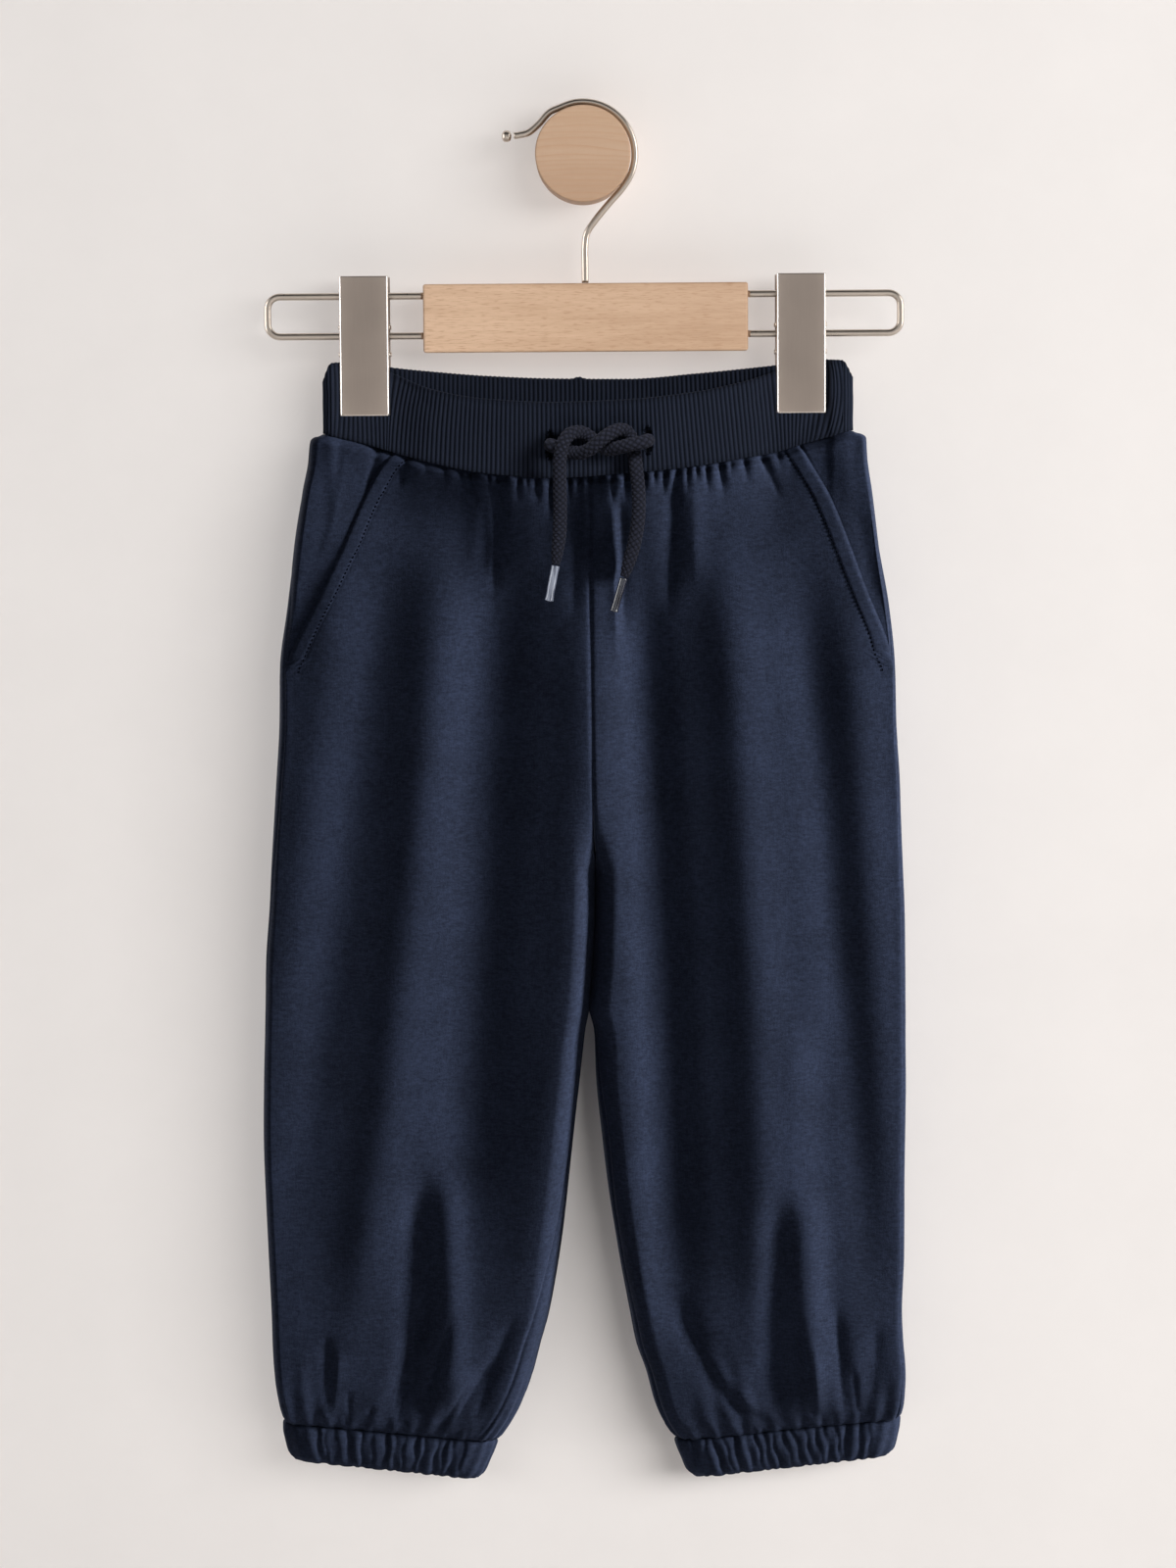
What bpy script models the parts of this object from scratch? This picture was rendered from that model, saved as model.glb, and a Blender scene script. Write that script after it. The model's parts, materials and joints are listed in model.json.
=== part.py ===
# Child's jogger sweatpants, held by the waistband in a two-clip hanger that hangs on a round
# wooden wall peg. The wall is the plane y = 0, the front of the garment faces -Y, and the
# origin is the middle of the peg's back face. Left and right are as seen from the front.
#
# Tables and sizes are in millimetres; MM turns them into metres when a mesh is made.

from collections import namedtuple
import math

import bmesh
import bpy
import numpy as np
from mathutils import Vector

MM = 0.001

# ---- driving dimensions ----------------------------------------------------------------------

SEAM_GAP = 0.3              # clear space between two sewn pieces
CLOTH = 1.8                 # thickness of the sweatshirt cloth
BAND_CLOTH = 2.2            # the waistband is rib knit folded double
HANG_DEPTH = -26.0          # y of the plane that the hanger and the garment hang in

WAIST_LEVEL = -126.0        # waist seam at the side seams
CUFF_LEVEL = -586.5         # cuff seam at the side seams
CUFF_SLANT = 10.0           # the cuff seam falls this much towards the inner leg
CUFF_HEIGHT = 18.6
CROTCH_LEVEL = -326.0
CROTCH_RISE = 34.0          # height over which the centre seam turns under to the crotch
WAIST_BLEND = 50.0          # height over which the waist seam's section turns into the seat's
WAIST_PUFF = 2.0            # the cloth stands this far out over the waist seam
WAIST_PUFF_REACH = 4.0      # within this much below the seam
SEAM_DIP_REACH = 105.0      # below this the rows no longer follow the waist seam's dip
SLANT_START = -520.0        # the rows start to follow the cuff seam's slant here

EDGE_SHARE = 0.19           # share of a face's columns that lies on each rounded edge
INNER_EDGE = 24.0           # width of the rounded edge at the inner leg
INNER_EDGE_NARROWS = (-540.0, 50.0, 0.4)    # from this level, over this height, by this share
SEAM_PULL_START = (-304.0, 18.0)            # below this the inner seam's gap opens, over this height
PROBE_STEPS = (0.004, 0.6)  # across and down, between which the cloth's slope is measured
BAND_PROBE = 0.002          # the same round the waistband
CUFF_PROBE = 0.01           # and round a cuff
GRID_MARGIN = 0.4           # share of a column left clear between a panel's end and its grid

RIBS = 244                  # knitted ribs round the waistband
RIB_HEIGHT = 0.45
WAIST_GATHERS = 12          # across each front and each back
WAIST_GATHER_HEIGHT = 0.8
WAIST_GATHER_LENGTH = (21.0, 9.0, 23.0)     # length down the cloth, how much and how often it varies
WAIST_GATHER_START = (0.18, 0.12)           # none on this share next to the side seam
CUFF_GATHERS = 16           # across each face of a leg
CUFF_GATHER_HEIGHT = 1.1
LEG_GATHER_HEIGHT = 1.2
LEG_GATHER_LENGTH = (30.0, 12.0, 19.0)
GATHER_POINTS = 6           # columns for each cuff gather
GATHER_DRIFT = ((0.16, 6.0), (0.10, 17.0))  # share of a gather's width, and how often it drifts
GATHER_SWELL = (0.78, 0.22, 11.0)           # mean height, how much it varies, and how often
GATHER_SEEDS = {"left": 1.3, "right": 4.1, "back": 2.2}
CUFF_INNER_POINTS = 32      # round the plain inside of a cuff
BAND_INNER_POINTS = 84      # round the plain inside of the waistband
BAND_TURN = 0.045           # share of the band's height that its top fold takes
BAND_MIDDLE = 0.6           # and the drop of the ring between its fold and its seam
BAND_TRIES = 3001           # places tried when the ribs are spaced evenly round the band

POCKET_FOOT = -233.0        # the pocket mouth meets the side seam here
POCKET_OVERLAP = 9.0        # how far the pocket's back reaches behind the front
POCKET_SINK = 3.5           # and how deep it lies under the front's outer face
POCKET_TUCK = 1.6           # extra depth at the hidden end
POCKET_CLOSES = 10.0        # where less than this shows, the pocket's back starts to sink away
POCKET_SEAM_INSET = 3.0     # and steps in from the side seam
POCKET_TAIL = 8.0           # length below the mouth's foot
POCKET_RAMP = 0.8           # share of the width shown over which it sinks from the side seam

CORD_DIAMETER = 6.5
TIP_DIAMETER = 4.0

PEG_RADIUS = 21.75
PEG_LENGTH = 33.5
PEG_ROUNDING = 0.5
PEG_SIDES = 36
HOOK_DIAMETER = 3.1
HOOK_BALL_DIAMETER = 5.2
HOOK_BALL_SIDES = (12, 8)   # round it and from end to end
FRAME_DIAMETER = 3.2
BAR_SIZE = (148.0, 14.0, 31.0)
BAR_CENTRE = (0.7, HANG_DEPTH, -73.9)
BAR_ROUNDING = 1.2
FRAME_REACH = 146.2         # outermost point of the wire loops, from the middle
FRAME_HEIGHTS = (-63.6, -81.7)
FRAME_CORNER = 5.5
CORNER_POINTS = 5           # on each rounded corner of a wire loop
CLIP_PLACES = {"left": -100.2, "right": 98.8}
CLIP_WIDTH = 22.4
CLIP_TOP = -54.6
CLIP_FOOT = -117.9
CLIP_HALF_DEPTH = 10.0      # outer face of each half, from the hanging plane
CLIP_SHEET = 1.2
CLIP_ROUNDING = 0.35
CLIP_OPEN_TOP = 4.0         # the hollow of each half runs this far past its top edge
JAW_HALF_GAP = 3.6
JAW_HEIGHT = 9.0
SPRING_LEVEL = -89.6
SPRING_DIAMETER = 5.0
SMOOTH_ANGLE = 50.0         # degrees; faces that meet at more than this keep a sharp edge
BEVEL_ANGLE = 40.0          # degrees; edges sharper than this are rounded
WIRE_RESOLUTION = 2         # bevel resolution of wires and cords: 8 sides
FINE_RESOLUTION = 3         # and of the springs and tips: 10 sides

# The edge of a clip half's side flanges, from the jaw up, measured from the hanging plane.
FlangeRow = namedtuple("FlangeRow", "depth z")
FLANGE = (
    FlangeRow(JAW_HALF_GAP, CLIP_FOOT + JAW_HEIGHT),
    FlangeRow(3.2, -96.0),
    FlangeRow(3.2, -86.6),
    FlangeRow(6.0, -80.0),
    FlangeRow(7.4, CLIP_TOP),
)

# ---- tables: one row for each section, fold or station ----------------------------------------

# Waistband, by its place across. Depths are measured from the hanging plane.
BandRow = namedtuple("BandRow", "x front_top front_seam back_top back_seam"
                                " front_depth back_depth seam_depth")
BAND = (
    BandRow(-120.0, -102.5, -126.0, -102.5, -126.0, 4.6, 4.6, 5.4),
    BandRow(-116.0, -94.8, -127.0, -94.8, -127.0, 4.8, 4.8, 5.8),
    BandRow(-111.5, -94.6, -128.2, -94.4, -127.8, 3.0, 3.0, 4.8),
    BandRow(-100.0, -95.4, -131.1, -94.8, -129.5, 2.8, 2.8, 4.8),
    BandRow(-88.5, -99.3, -134.6, -96.9, -131.0, 3.0, 3.0, 5.4),
    BandRow(-70.0, -106.9, -139.7, -98.9, -133.0, 7.4, 5.8, 9.6),
    BandRow(-45.0, -111.4, -144.6, -101.0, -135.0, 10.4, 8.0, 12.6),
    BandRow(-14.0, -113.1, -146.8, -102.4, -136.5, 12.0, 9.0, 14.0),
    BandRow(20.0, -112.1, -144.8, -102.8, -136.5, 11.8, 9.0, 13.6),
    BandRow(52.0, -108.7, -141.7, -100.5, -134.6, 9.6, 7.6, 11.8),
    BandRow(75.0, -103.8, -138.0, -98.4, -132.6, 6.2, 5.4, 8.2),
    BandRow(87.5, -99.9, -135.9, -97.1, -131.2, 3.0, 3.0, 5.2),
    BandRow(99.0, -95.8, -132.5, -95.4, -129.8, 2.8, 2.8, 4.8),
    BandRow(110.5, -94.8, -129.4, -94.6, -128.6, 3.0, 3.0, 4.8),
    BandRow(118.0, -95.0, -127.2, -95.0, -127.2, 5.0, 5.0, 5.8),
    BandRow(123.0, -102.0, -126.2, -102.0, -126.2, 4.6, 4.6, 5.4),
)
BAND_EDGE = 5.0             # width of the rounded fold at each end of the flattened band

# Legs, by height: outlines left and right of the middle, depths in front and behind, and the
# width of the rounded outer edge. Above the crotch both inner edges are the centre seam.
LegRow = namedtuple("LegRow", "z outer_left inner_left inner_right outer_right"
                              " front back edge")
LEGS = (
    LegRow(-126.0, -120.2, 2.0, 2.0, 122.6, 14.0, 13.0, 5.0),
    LegRow(-127.2, -123.9, 2.0, 2.0, 126.3, 14.3, 13.3, 6.5),
    LegRow(-129.5, -125.9, 2.0, 2.0, 128.7, 15.0, 14.0, 9.0),
    LegRow(-140.0, -127.2, 2.0, 2.0, 129.3, 16.0, 14.5, 15.0),
    LegRow(-152.0, -129.8, 2.0, 2.0, 130.9, 17.0, 15.5, 20.0),
    LegRow(-179.0, -133.7, 2.0, 2.0, 134.5, 18.5, 16.5, 26.0),
    LegRow(-206.0, -137.3, 2.0, 2.0, 139.0, 19.0, 17.5, 29.0),
    LegRow(-233.0, -141.3, 2.0, 2.0, 141.8, 19.5, 18.0, 30.0),
    LegRow(-260.0, -142.1, 2.2, 2.2, 142.7, 19.5, 18.0, 30.0),
    LegRow(-287.0, -143.9, 2.6, 2.6, 144.5, 19.0, 18.0, 30.0),
    LegRow(-315.0, -145.7, 3.4, 3.4, 145.4, 18.5, 17.5, 30.0),
    LegRow(-326.0, -146.4, 3.8, 3.8, 145.8, 18.5, 17.5, 30.0),
    LegRow(-342.0, -147.4, 3.6, 3.6, 146.4, 18.0, 17.0, 30.0),
    LegRow(-369.5, -149.7, 2.0, 2.0, 146.9, 17.5, 17.0, 30.0),
    LegRow(-392.0, -150.3, 0.2, 0.2, 147.2, 17.1, 16.6, 30.0),
    LegRow(-397.0, -150.5, -0.8, 1.4, 147.3, 17.0, 16.5, 30.0),
    LegRow(-404.0, -150.7, -2.2, 2.9, 147.3, 16.9, 16.4, 30.0),
    LegRow(-425.0, -151.4, -4.4, 3.5, 147.4, 16.5, 16.0, 30.0),
    LegRow(-453.0, -151.8, -7.7, 6.0, 146.9, 16.0, 16.0, 30.0),
    LegRow(-480.5, -151.3, -11.1, 9.0, 146.5, 16.0, 15.5, 30.0),
    LegRow(-508.5, -150.4, -15.0, 13.4, 146.5, 15.5, 15.0, 29.0),
    LegRow(-536.5, -149.4, -19.8, 18.8, 145.6, 15.5, 15.0, 28.0),
    LegRow(-550.5, -149.1, -23.6, 21.4, 146.1, 15.0, 15.0, 26.0),
    LegRow(-564.5, -148.4, -27.4, 26.0, 147.0, 14.5, 14.5, 23.0),
    LegRow(-578.8, -146.3, -33.0, 29.6, 146.1, 12.5, 12.5, 19.0),
    LegRow(-587.0, -144.3, -37.4, 32.8, 144.3, 10.0, 10.0, 15.0),
    LegRow(-597.0, -142.5, -44.4, 38.9, 142.5, 8.5, 8.5, 13.0),
)

# Cuffs, by their drop below the cuff seam.
CuffRow = namedtuple("CuffRow", "drop outer_left inner_left inner_right outer_right depth")
CUFFS = (
    CuffRow(0.0, -144.4, -44.4, 38.9, 144.4, 8.8),
    CuffRow(5.0, -144.5, -46.2, 40.5, 144.0, 9.6),
    CuffRow(10.0, -143.6, -48.4, 42.6, 143.0, 9.4),
    CuffRow(15.0, -142.4, -50.6, 44.6, 141.8, 8.6),
    CuffRow(18.6, -140.6, -53.2, 47.6, 139.8, 7.4),
)
CUFF_EDGE = 13.0

# Rings of a cuff's wall: down the gathered outside, round the hem and up the plain inside.
CuffRing = namedtuple("CuffRing", "drop gathered sink points")
CUFF_RINGS = (
    CuffRing(SEAM_GAP, 0.8, 0.0, GATHER_POINTS * CUFF_GATHERS),
    CuffRing(7.0, 1.0, 0.0, GATHER_POINTS * CUFF_GATHERS),
    CuffRing(14.5, 1.0, 0.0, GATHER_POINTS * CUFF_GATHERS),
    CuffRing(CUFF_HEIGHT, 0.6, 0.5 * CLOTH, GATHER_POINTS * CUFF_GATHERS),
    CuffRing(CUFF_HEIGHT - CLOTH, 0.0, 2.0 * CLOTH, CUFF_INNER_POINTS),
    CuffRing(SEAM_GAP, 0.0, 2.0 * CLOTH, CUFF_INNER_POINTS),
)

# Pocket mouths: where the slanted edge of each front lies.
PocketRow = namedtuple("PocketRow", "z left right")
POCKETS = (
    PocketRow(-126.0, -78.0, 91.5),
    PocketRow(-134.0, -84.4, 95.7),
    PocketRow(-152.0, -96.0, 104.6),
    PocketRow(-176.0, -109.4, 114.2),
    PocketRow(-200.0, -122.0, 125.6),
    PocketRow(-220.0, -132.6, 136.2),
    PocketRow(-233.0, -138.4, 140.6),
)

# Seams that wrap on to the front face: their distance in from the outline.
SeamRow = namedtuple("SeamRow", "z side_left side_right inseam_left inseam_right")
SEAMS = (
    SeamRow(-126.0, 0.4, 0.4, 0.0, 0.0),
    SeamRow(-206.0, 0.8, 0.8, 0.0, 0.0),
    SeamRow(-233.0, 2.9, 1.2, 0.0, 0.0),
    SeamRow(-262.0, 3.3, 1.5, 0.0, 0.0),
    SeamRow(-350.0, 0.5, 1.9, 0.0, 0.0),
    SeamRow(-400.0, 0.4, 2.0, 0.0, 0.4),
    SeamRow(-453.0, 0.3, 2.0, 0.8, 2.5),
    SeamRow(-487.0, 0.3, 2.0, 2.0, 1.6),
    SeamRow(-520.0, 0.3, 2.0, 5.0, 1.2),
    SeamRow(-550.0, 0.3, 2.0, 8.0, 2.0),
    SeamRow(-597.0, 0.3, 2.0, 9.8, 1.2),
)

# Long soft folds: a line from head to foot, bowed sideways at its middle.
FRONT = -1
BACK = 1
FoldRow = namedtuple("FoldRow", "face x_head z_head x_foot z_foot bow width height")
FOLDS = (
    FoldRow(FRONT, -108.0, -150.0, -148.0, -430.0, 1.0, 11.0, 3.6),
    FoldRow(FRONT, -86.0, -150.0, -140.0, -510.0, 2.0, 12.0, -4.0),
    FoldRow(FRONT, -66.0, -145.0, -119.0, -575.0, 6.0, 13.0, 4.4),
    FoldRow(FRONT, -38.0, -150.0, -60.0, -520.0, 1.0, 13.0, -4.4),
    FoldRow(FRONT, -8.0, -150.0, -31.0, -570.0, 1.0, 12.0, 3.8),
    FoldRow(FRONT, -79.0, -460.0, -84.0, -592.0, 0.0, 7.0, -2.8),
    FoldRow(FRONT, -66.0, -460.0, -64.0, -594.0, 0.0, 7.0, 2.6),
    FoldRow(FRONT, 27.0, -150.0, 41.0, -575.0, 3.0, 12.0, -4.4),
    FoldRow(FRONT, 14.0, -360.0, 23.0, -560.0, 0.0, 8.0, 2.0),
    FoldRow(FRONT, 62.0, -145.0, 72.0, -575.0, 6.0, 14.0, 4.4),
    FoldRow(FRONT, 94.0, -160.0, 122.0, -560.0, 2.0, 12.0, -3.8),
    FoldRow(FRONT, 117.0, -185.0, 140.0, -500.0, 3.0, 10.0, 3.2),
    FoldRow(FRONT, 86.0, -470.0, 85.0, -592.0, 0.0, 7.0, -2.8),
    FoldRow(FRONT, 101.0, -470.0, 104.0, -592.0, 0.0, 8.0, 2.8),
    FoldRow(BACK, -112.0, -160.0, -138.0, -430.0, -2.0, 13.0, 2.6),
    FoldRow(BACK, -84.0, -150.0, -112.0, -520.0, -3.0, 13.0, -3.4),
    FoldRow(BACK, -52.0, -150.0, -78.0, -570.0, 4.0, 14.0, 3.0),
    FoldRow(BACK, -22.0, -170.0, -44.0, -560.0, 0.0, 12.0, -3.0),
    FoldRow(BACK, 24.0, -165.0, 50.0, -570.0, -3.0, 13.0, -3.2),
    FoldRow(BACK, 58.0, -150.0, 84.0, -575.0, -4.0, 14.0, 3.0),
    FoldRow(BACK, 90.0, -155.0, 112.0, -540.0, 2.0, 13.0, -3.4),
    FoldRow(BACK, 118.0, -180.0, 134.0, -480.0, 2.0, 11.0, 2.4),
)
FOLD_FADE = 0.22            # share of a fold's length that each end takes to die away

# Rows of the leg panels, by height at the side seam, with the columns across each panel's
# outer face. A row marked inside also carries the plain inner face.
PanelRow = namedtuple("PanelRow", "z columns inside")
PANEL_ROWS = (
    PanelRow(-126.2, 42, True),
    PanelRow(-130.0, 42, False),
    PanelRow(-138.0, 42, True),
    PanelRow(-152.0, 24, True),
    PanelRow(-170.0, 22, True),
    PanelRow(-190.0, 22, True),
    PanelRow(-212.0, 22, True),
    PanelRow(-233.0, 22, True),
    PanelRow(-262.0, 22, True),
    PanelRow(-292.0, 22, True),
    PanelRow(-308.0, 22, True),
    PanelRow(-318.0, 22, True),
    PanelRow(-326.0, 22, True),
    PanelRow(-350.0, 22, True),
    PanelRow(-392.0, 20, True),
    PanelRow(-404.0, 20, False),
    PanelRow(-442.0, 20, True),
    PanelRow(-480.0, 20, True),
    PanelRow(-510.0, 20, False),
    PanelRow(-535.0, 22, True),
    PanelRow(-555.0, 36, True),
    PanelRow(-571.0, 48, True),
    PanelRow(-580.0, 48, False),
    PanelRow(-586.3, 48, True),
)
INNER_COLUMNS = 16          # across the plain inner face
POCKET_COLUMNS = 16

# Routes of the drawstring's two free ends: x, y, z and the share of its full thickness.
CORD_ROUTES = {
    "cord_left": (
        (28.4, -38.6, -129.8, 0.9), (28.6, -42.6, -129.9, 1.0), (27.8, -46.6, -130.2, 1.0),
        (25.0, -49.2, -130.8, 1.0), (20.6, -49.6, -131.6, 1.0), (15.8, -47.6, -132.8, 1.0),
        (11.0, -43.6, -133.6, 1.0), (6.6, -42.0, -132.0, 1.0), (2.6, -42.0, -128.4, 1.0),
        (-1.8, -43.6, -126.0, 1.0), (-6.6, -47.6, -126.6, 1.0), (-10.0, -50.2, -131.0, 1.0),
        (-11.4, -50.2, -138.0, 1.0), (-11.6, -49.4, -148.0, 1.0), (-11.5, -49.0, -160.0, 1.0),
        (-11.9, -49.4, -172.0, 1.0), (-12.9, -50.0, -180.0, 0.86), (-13.6, -50.4, -185.6, 0.6),
    ),
    "cord_right": (
        (-15.8, -38.8, -131.4, 0.9), (-15.4, -41.9, -131.8, 1.0), (-12.2, -42.7, -132.8, 1.0),
        (-8.4, -42.4, -134.2, 1.0), (-4.6, -43.2, -135.2, 1.0), (-0.6, -46.0, -135.0, 1.0),
        (3.6, -48.8, -132.6, 1.0), (8.0, -49.6, -128.8, 1.0), (13.2, -47.0, -125.6, 1.0),
        (18.0, -42.8, -125.2, 1.0), (21.2, -41.7, -129.2, 1.0), (22.4, -42.6, -136.0, 1.0),
        (23.4, -45.6, -144.0, 1.0), (24.2, -47.8, -154.0, 1.0), (23.9, -48.8, -165.0, 1.0),
        (22.1, -49.0, -176.0, 1.0), (19.2, -49.0, -186.0, 0.9), (17.4, -49.2, -191.5, 0.6),
    ),
}
CORD_STEP = 4.0             # between the points of a cord's solid
CURVE_PARTS = 16            # short steps worked out between two points of a route
TIPS = {
    "tip_left": ((-13.7, -50.5, -186.1), (-16.9, -50.9, -202.1)),
    "tip_right": ((17.2, -49.2, -192.0), (12.6, -49.6, -207.3)),
}
BUTTONHOLES = ((-15.8, -131.6), (28.6, -130.0))     # x and z of each slit
BUTTONHOLE_SIZE = (4.6, 13.0)
BUTTONHOLE_DEPTH = 1.3
BUTTONHOLE_REACH = 12.0                             # length of the shape that cuts each slit
BUTTONHOLE_SIDES = 16

# Hook: upright stem, bend, an arc round the peg worked out below, and a lead to the ball.
HOOK_STEM = ((0.6, -58.1), (0.6, -50.0), (0.6, -42.0), (1.6, -35.6), (5.6, -29.6), (11.6, -22.4))
HOOK_ARC = (-42.0, 118.0)                           # degrees, seen from the front
HOOK_ARC_POINTS = 9
HOOK_LEAD = ((-15.6, 18.6), (-20.0, 13.8), (-24.6, 10.0), (-29.0, 8.8), (-31.4, 8.5))
HOOK_BALL = (-34.7, 8.3)
HOOK_STEP = 4.8


# ---- reading the tables ------------------------------------------------------------------------

def smooth(rows, column, at):
    """Value of a column at a place, on a curve through the table's rows that never overshoots."""
    keys = np.array([row[0] for row in rows])
    values = np.array([getattr(row, column) for row in rows])
    order = np.argsort(keys)
    keys = keys[order]
    values = values[order]
    slopes = np.diff(values) / np.diff(keys)
    both = slopes[:-1] * slopes[1:]
    total = np.where(both > 0.0, slopes[:-1] + slopes[1:], 1.0)
    turns = np.where(both > 0.0, 2.0 * both / total, 0.0)
    turns = np.concatenate((slopes[:1], turns, slopes[-1:]))
    at = np.clip(at, keys[0], keys[-1])
    k = np.clip(np.searchsorted(keys, at) - 1, 0, len(keys) - 2)
    span = keys[k + 1] - keys[k]
    t = (at - keys[k]) / span
    rise = values[k + 1] - values[k]
    start = turns[k] * span
    end = turns[k + 1] * span
    return values[k] + t * (start + t * (3.0 * rise - 2.0 * start - end + t * (start + end - 2.0 * rise)))


def ease(t):
    """0 to 1 with level ends."""
    t = np.clip(t, 0.0, 1.0)
    return t * t * (3.0 - 2.0 * t)


# ---- the garment's surface ---------------------------------------------------------------------

def fold_height(face, x, z):
    """Sum of the long folds at a place on one face."""
    total = np.zeros_like(x)
    for fold in FOLDS:
        along = (fold.z_head - z) / (fold.z_head - fold.z_foot)
        line = fold.x_head + (fold.x_foot - fold.x_head) * along + 4.0 * fold.bow * along * (1.0 - along)
        fade = ease(along / FOLD_FADE) * ease((1.0 - along) / FOLD_FADE)
        swell = fold.height * fade * np.exp(-(((x - line) / fold.width) ** 2))
        total = total + np.where(face == fold.face, swell, 0.0)
    return total


def across(u, width, outer_edge, inner_edge, keep):
    """Share of the width at u, and how full the section is there.

    Each rounded edge is a quarter of an ellipse; keep is the fullness left at the inner end.
    """
    outer_turn = 0.5 * math.pi * np.clip(u / EDGE_SHARE, 0.0, 1.0)
    inner_turn = 0.5 * math.pi * np.clip((1.0 - u) / EDGE_SHARE, 0.0, 1.0)
    flat = width - outer_edge - inner_edge
    middle = np.clip((u - EDGE_SHARE) / (1.0 - 2.0 * EDGE_SHARE), 0.0, 1.0)
    distance = outer_edge * (1.0 - np.cos(outer_turn)) + flat * middle + inner_edge * np.cos(inner_turn)
    fullness = np.sin(outer_turn) * (keep + (1.0 - keep) * np.sin(inner_turn))
    return distance / width, fullness


def place_across(distance, width, outer_edge, inner_edge):
    """The u at a distance in from the outline, the reverse of across()."""
    flat = width - outer_edge - inner_edge
    on_outer = EDGE_SHARE * np.arccos(np.clip(1.0 - distance / outer_edge, 0.0, 1.0)) / (0.5 * math.pi)
    on_flat = EDGE_SHARE + (1.0 - 2.0 * EDGE_SHARE) * (distance - outer_edge) / flat
    left_over = np.clip(1.0 - (width - distance) / inner_edge, 0.0, 1.0)
    on_inner = 1.0 - EDGE_SHARE * np.arccos(left_over) / (0.5 * math.pi)
    flat_or_inner = np.where(distance < width - inner_edge, on_flat, on_inner)
    return np.where(distance < outer_edge, on_outer, flat_or_inner)


def leg_widths(side, level):
    """Outer edge, inner edge and the widths of both rounded edges of a leg at a row's level."""
    slant = CUFF_SLANT * ease((SLANT_START - level) / (SLANT_START - CUFF_LEVEL))
    outer = smooth(LEGS, "outer_" + side, level)
    inner = smooth(LEGS, "inner_" + side, level - slant)
    half_gap = 0.5 * SEAM_GAP
    inner = inner - half_gap if side == "left" else inner + half_gap
    outer_edge = smooth(LEGS, "edge", level)
    first_level, height, less = INNER_EDGE_NARROWS
    inner_edge = INNER_EDGE * (1.0 - less * ease((first_level - level) / height))
    return outer, inner, outer_edge, inner_edge, slant


def leg_cloth(side, face, u, level):
    """Outer face of the cloth without its gathers, as x, y and z.

    u runs across a face from the side edge (0) to the centre seam or inner leg (1). Past an
    edge it carries on round to the other face.
    """
    level = np.asarray(level, dtype=float)
    turned = (u < 0.0) | ((u > 1.0) & (level <= CROTCH_LEVEL))
    face = np.where(turned, -face, face)
    u = np.where(u < 0.0, -u, u)
    u = np.where(u > 1.0, np.where(level <= CROTCH_LEVEL, 2.0 - u, 1.0), u)

    outer, inner, outer_edge, inner_edge, slant = leg_widths(side, level)
    turn_under = np.clip((CROTCH_LEVEL + CROTCH_RISE - level) / CROTCH_RISE, 0.0, 1.0)
    keep = np.sqrt(1.0 - turn_under ** 2)
    share, fullness = across(u, np.abs(inner - outer), outer_edge, inner_edge, keep)
    x = outer + (inner - outer) * share

    seam = np.where(face == FRONT, smooth(BAND, "front_seam", x), smooth(BAND, "back_seam", x))
    dip = 1.0 - ease((WAIST_LEVEL - level) / SEAM_DIP_REACH)
    z = level + (seam - WAIST_LEVEL) * dip - slant * share

    blend = ease((WAIST_LEVEL - level) / WAIST_BLEND)
    puff = WAIST_PUFF * ease((WAIST_LEVEL - level) / WAIST_PUFF_REACH)
    seat = np.where(face == FRONT, smooth(LEGS, "front", level), smooth(LEGS, "back", level))
    depth = smooth(BAND, "seam_depth", x) * (1.0 - blend) + seat * blend + puff * (1.0 - blend)
    depth = (depth + fold_height(face, x, z)) * fullness
    return np.stack((x, HANG_DEPTH + face * depth, z), axis=-1)


def leg_frame(side, face, u, level):
    """Points of leg_cloth, their outward normals, and the unit step across (growing u)."""
    step_u, step_z = PROBE_STEPS
    point = leg_cloth(side, face, u, level)
    over = leg_cloth(side, face, u + step_u, level) - leg_cloth(side, face, u - step_u, level)
    down = leg_cloth(side, face, u, level - step_z) - leg_cloth(side, face, u, level + step_z)
    over = over / np.linalg.norm(over, axis=-1, keepdims=True)
    normal = np.cross(over, down)
    normal = normal / np.linalg.norm(normal, axis=-1, keepdims=True)
    outward = face if side == "left" else -face
    return point, normal * outward, over


def waves(u, count, seed):
    """Uneven gathers across a face, from -1 in a groove to 1 on a ridge."""
    (long_share, long_pace), (short_share, short_pace) = GATHER_DRIFT
    mean, varies, pace = GATHER_SWELL
    drift = long_share * np.sin(long_pace * u + seed) + short_share * np.sin(short_pace * u + 2.0 * seed)
    swell = mean + varies * np.sin(pace * u + 3.0 * seed)
    return swell * np.cos(2.0 * math.pi * (count * u + drift))


def gather_seed(side, face):
    """The phase that keeps the gathers of each face unlike the others."""
    return GATHER_SEEDS[side] + (0.0 if face == FRONT else GATHER_SEEDS["back"])


def gather_height(side, face, u, level):
    """Height of the gathers under the waistband and over the cuff."""
    seed = gather_seed(side, face)
    length, varies, pace = WAIST_GATHER_LENGTH
    waist = 1.0 - ease((WAIST_LEVEL - level) / (length + varies * np.sin(pace * u + seed)))
    waist = waist * ease((u - WAIST_GATHER_START[0]) / WAIST_GATHER_START[1])
    length, varies, pace = LEG_GATHER_LENGTH
    cuff = 1.0 - ease((level - CUFF_LEVEL) / (length + varies * np.sin(pace * u + 2.0 * seed)))
    return (WAIST_GATHER_HEIGHT * waist * waves(u, WAIST_GATHERS, seed)
            + LEG_GATHER_HEIGHT * cuff * waves(u, CUFF_GATHERS, seed))


# ---- making walls ------------------------------------------------------------------------------

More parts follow.
